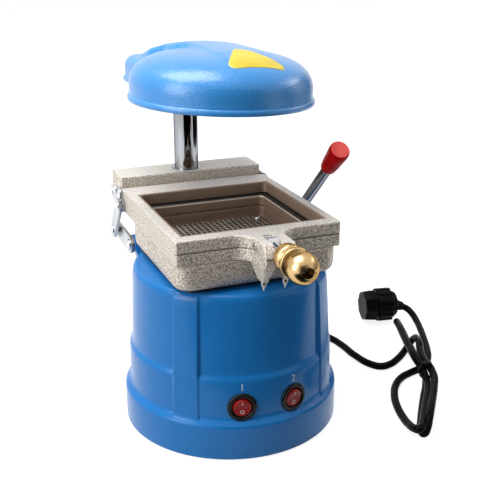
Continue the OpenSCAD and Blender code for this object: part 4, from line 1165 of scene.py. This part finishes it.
def label_plan(side, corner):
    """A triangle with round corners, in plan, with points along its sides too."""
    corners = []
    reach = side / math.sqrt(3) - 2 * corner
    for k in range(3):
        facing = 2 * math.pi * k / 3
        centre = Vector((reach * math.cos(facing), reach * math.sin(facing)))
        arc = np.linspace(facing - math.pi / 3, facing + math.pi / 3, 7)
        corners.append([centre + corner * Vector((math.cos(t), math.sin(t))) for t in arc])
    points = []
    for this, following in zip(corners, corners[1:] + corners[:1]):
        points += this + [this[-1].lerp(following[0], j / 14) for j in range(1, 14)]
    return points


def draped(plan, at, turn, lift):
    """A plan outline laid on the head, a little above its skin, as rings towards its middle."""
    rings = []
    for share in [1, 0.985] + [k / 12 for k in range(11, 0, -1)]:
        ring = []
        for x, y in plan:
            c, s = math.cos(turn), math.sin(turn)
            px, py = at[0] + share * (c * x - s * y), at[1] + share * (s * x + c * y)
            hit = tree_of_head.ray_cast(Vector((px, py, 400)) * MM, Vector((0, 0, -1)))
            ring.append(tuple((hit[0] + hit[1] * lift * MM * (-0.3 if share == 1 else 1)) / MM))
        rings.append(ring)
    return loft(rings)


label_shape = draped(label_plan(53, 5), (9, -26), -0.47, 0.35)
piece("head_label", label_shape, "head", label_yellow, 60)


# Heater
# A flat reflector of bright sheet metal closes the dome. Under it ivory ceramic bars hold a coil
# of oxidised heating wire.
heating_wire = finish(
    "heating wire", (0.10, 0.05, 0.03), (0.17, 0.09, 0.06), 0.5, 0.7, 1500, 70, 0.00005, metal=0.8,
)
paint(aluminium_sheet, "heater_plate")
paint(ivory, "heater_insulators")
paint(heating_wire, "heater_coil")


# Floor and light
# A plain pale floor under soft studio light, bright on both sides and from above. Black flags in
# front and at the right, seen only in reflections, give the bright metal its dark middle.
def seen_directly(tree):
    """A mask that is 1 where the camera sees something itself or in bright metal."""
    path = tree.nodes.new("ShaderNodeLightPath").outputs
    direct = sums(tree, "MAXIMUM", path["Is Camera Ray"], path["Is Glossy Ray"])
    return sums(tree, "MAXIMUM", direct, path["Is Transmission Ray"])


def flat_sheet(name, corners, material):
    """A sheet of the studio through four corners."""
    mesh = bpy.data.meshes.new(name)
    mesh.from_pydata(corners, [], [(0, 1, 2, 3)])
    mesh.materials.append(material)
    sheet = shown(bpy.data.objects.new(name, mesh))
    return sheet


pale_floor, tree, bsdf = surface("pale floor")
bsdf.inputs["Base Color"].default_value = (0.34, 0.34, 0.34, 1)
bsdf.inputs["Roughness"].default_value = 0.9
distance = tree.nodes.new("ShaderNodeVectorMath")
distance.operation = "LENGTH"
wire(tree, tree.nodes.new("ShaderNodeTexCoord"), "Object", distance, 0)
fade = share_of(tree, distance.outputs["Value"], 0.25, 1.1)
fade.node.interpolation_type = "SMOOTHSTEP"
fade.node.inputs["To Min"].default_value = 0.86
white = tree.nodes.new("ShaderNodeEmission")
feed(tree, sums(tree, "MULTIPLY", seen_directly(tree), fade), white.inputs["Strength"])
both = tree.nodes.new("ShaderNodeAddShader")
wire(tree, bsdf, "BSDF", both, 0)
wire(tree, white, "Emission", both, 1)
wire(tree, both, "Shader", tree.nodes["Material Output"], "Surface")
flat_sheet("floor", [(-4, -4, 0), (4, -4, 0), (4, 4, 0), (-4, 4, 0)], pale_floor)


def soft_light(name, at, aim, size, power):
    """A soft rectangular studio lamp."""
    lamp = bpy.data.lights.new(name, "AREA")
    lamp.shape = "RECTANGLE"
    lamp.size, lamp.size_y = size
    lamp.energy = power
    aimed(shown(bpy.data.objects.new(name, lamp)), at, aim)


soft_light("left softbox", (-1.6, -0.4, 0.8), (0, 0, 0.16), (0.8, 1.2), 17)
soft_light("right softbox", (1.45, 0.05, 0.6), (0, 0, 0.16), (0.6, 1.0), 9)
soft_light("top softbox", (-0.5, 0.15, 1.55), (0, 0, 0.15), (1.0, 1.1), 26)


def dark_flag(name, corners):
    """A black sheet that only reflections show."""
    flag = flat_sheet(name, corners, black_cloth)
    flag.visible_camera = False
    flag.visible_shadow = False
    flag.visible_diffuse = False


black_cloth = finish(
    "black cloth", (0.001, 0.001, 0.001), (0.003, 0.003, 0.003), 0.9, 1, 900, 40, 0.0001, shine=0,
)
dark_flag("bench flag", [(-0.9, -1.4, 0.004), (0.8, -1.4, 0.004), (0.5, -0.12, 0.004), (-0.45, -0.2, 0.004)])
dark_flag("front flag", [(-1.0, -1.2, 0), (1.0, -1.5, 0), (1.0, -1.5, 1.2), (-1.0, -1.2, 1.2)])
dark_flag("right flag", [(1.1, -0.7, 0), (1.1, 0.8, 0), (1.1, 0.8, 0.7), (1.1, -0.7, 0.7)])

world = bpy.data.worlds.new("studio")
bpy.context.scene.world = world
world.use_nodes = True
sky = world.node_tree
back = sky.nodes["Background"]
back.inputs["Color"].default_value = (1, 1, 1, 1)
back.inputs["Strength"].default_value = 1
lit = sky.nodes.new("ShaderNodeBackground")
lit.inputs["Color"].default_value = (0.82, 0.84, 0.88, 1)
lit.inputs["Strength"].default_value = 0.25
seen = sky.nodes.new("ShaderNodeMixShader")
feed(sky, seen_directly(sky), seen.inputs["Fac"])
wire(sky, lit, "Background", seen, 1)
wire(sky, back, "Background", seen, 2)
wire(sky, seen, "Shader", sky.nodes["World Output"], "Surface")

bpy.context.scene.view_settings.view_transform = "Standard"
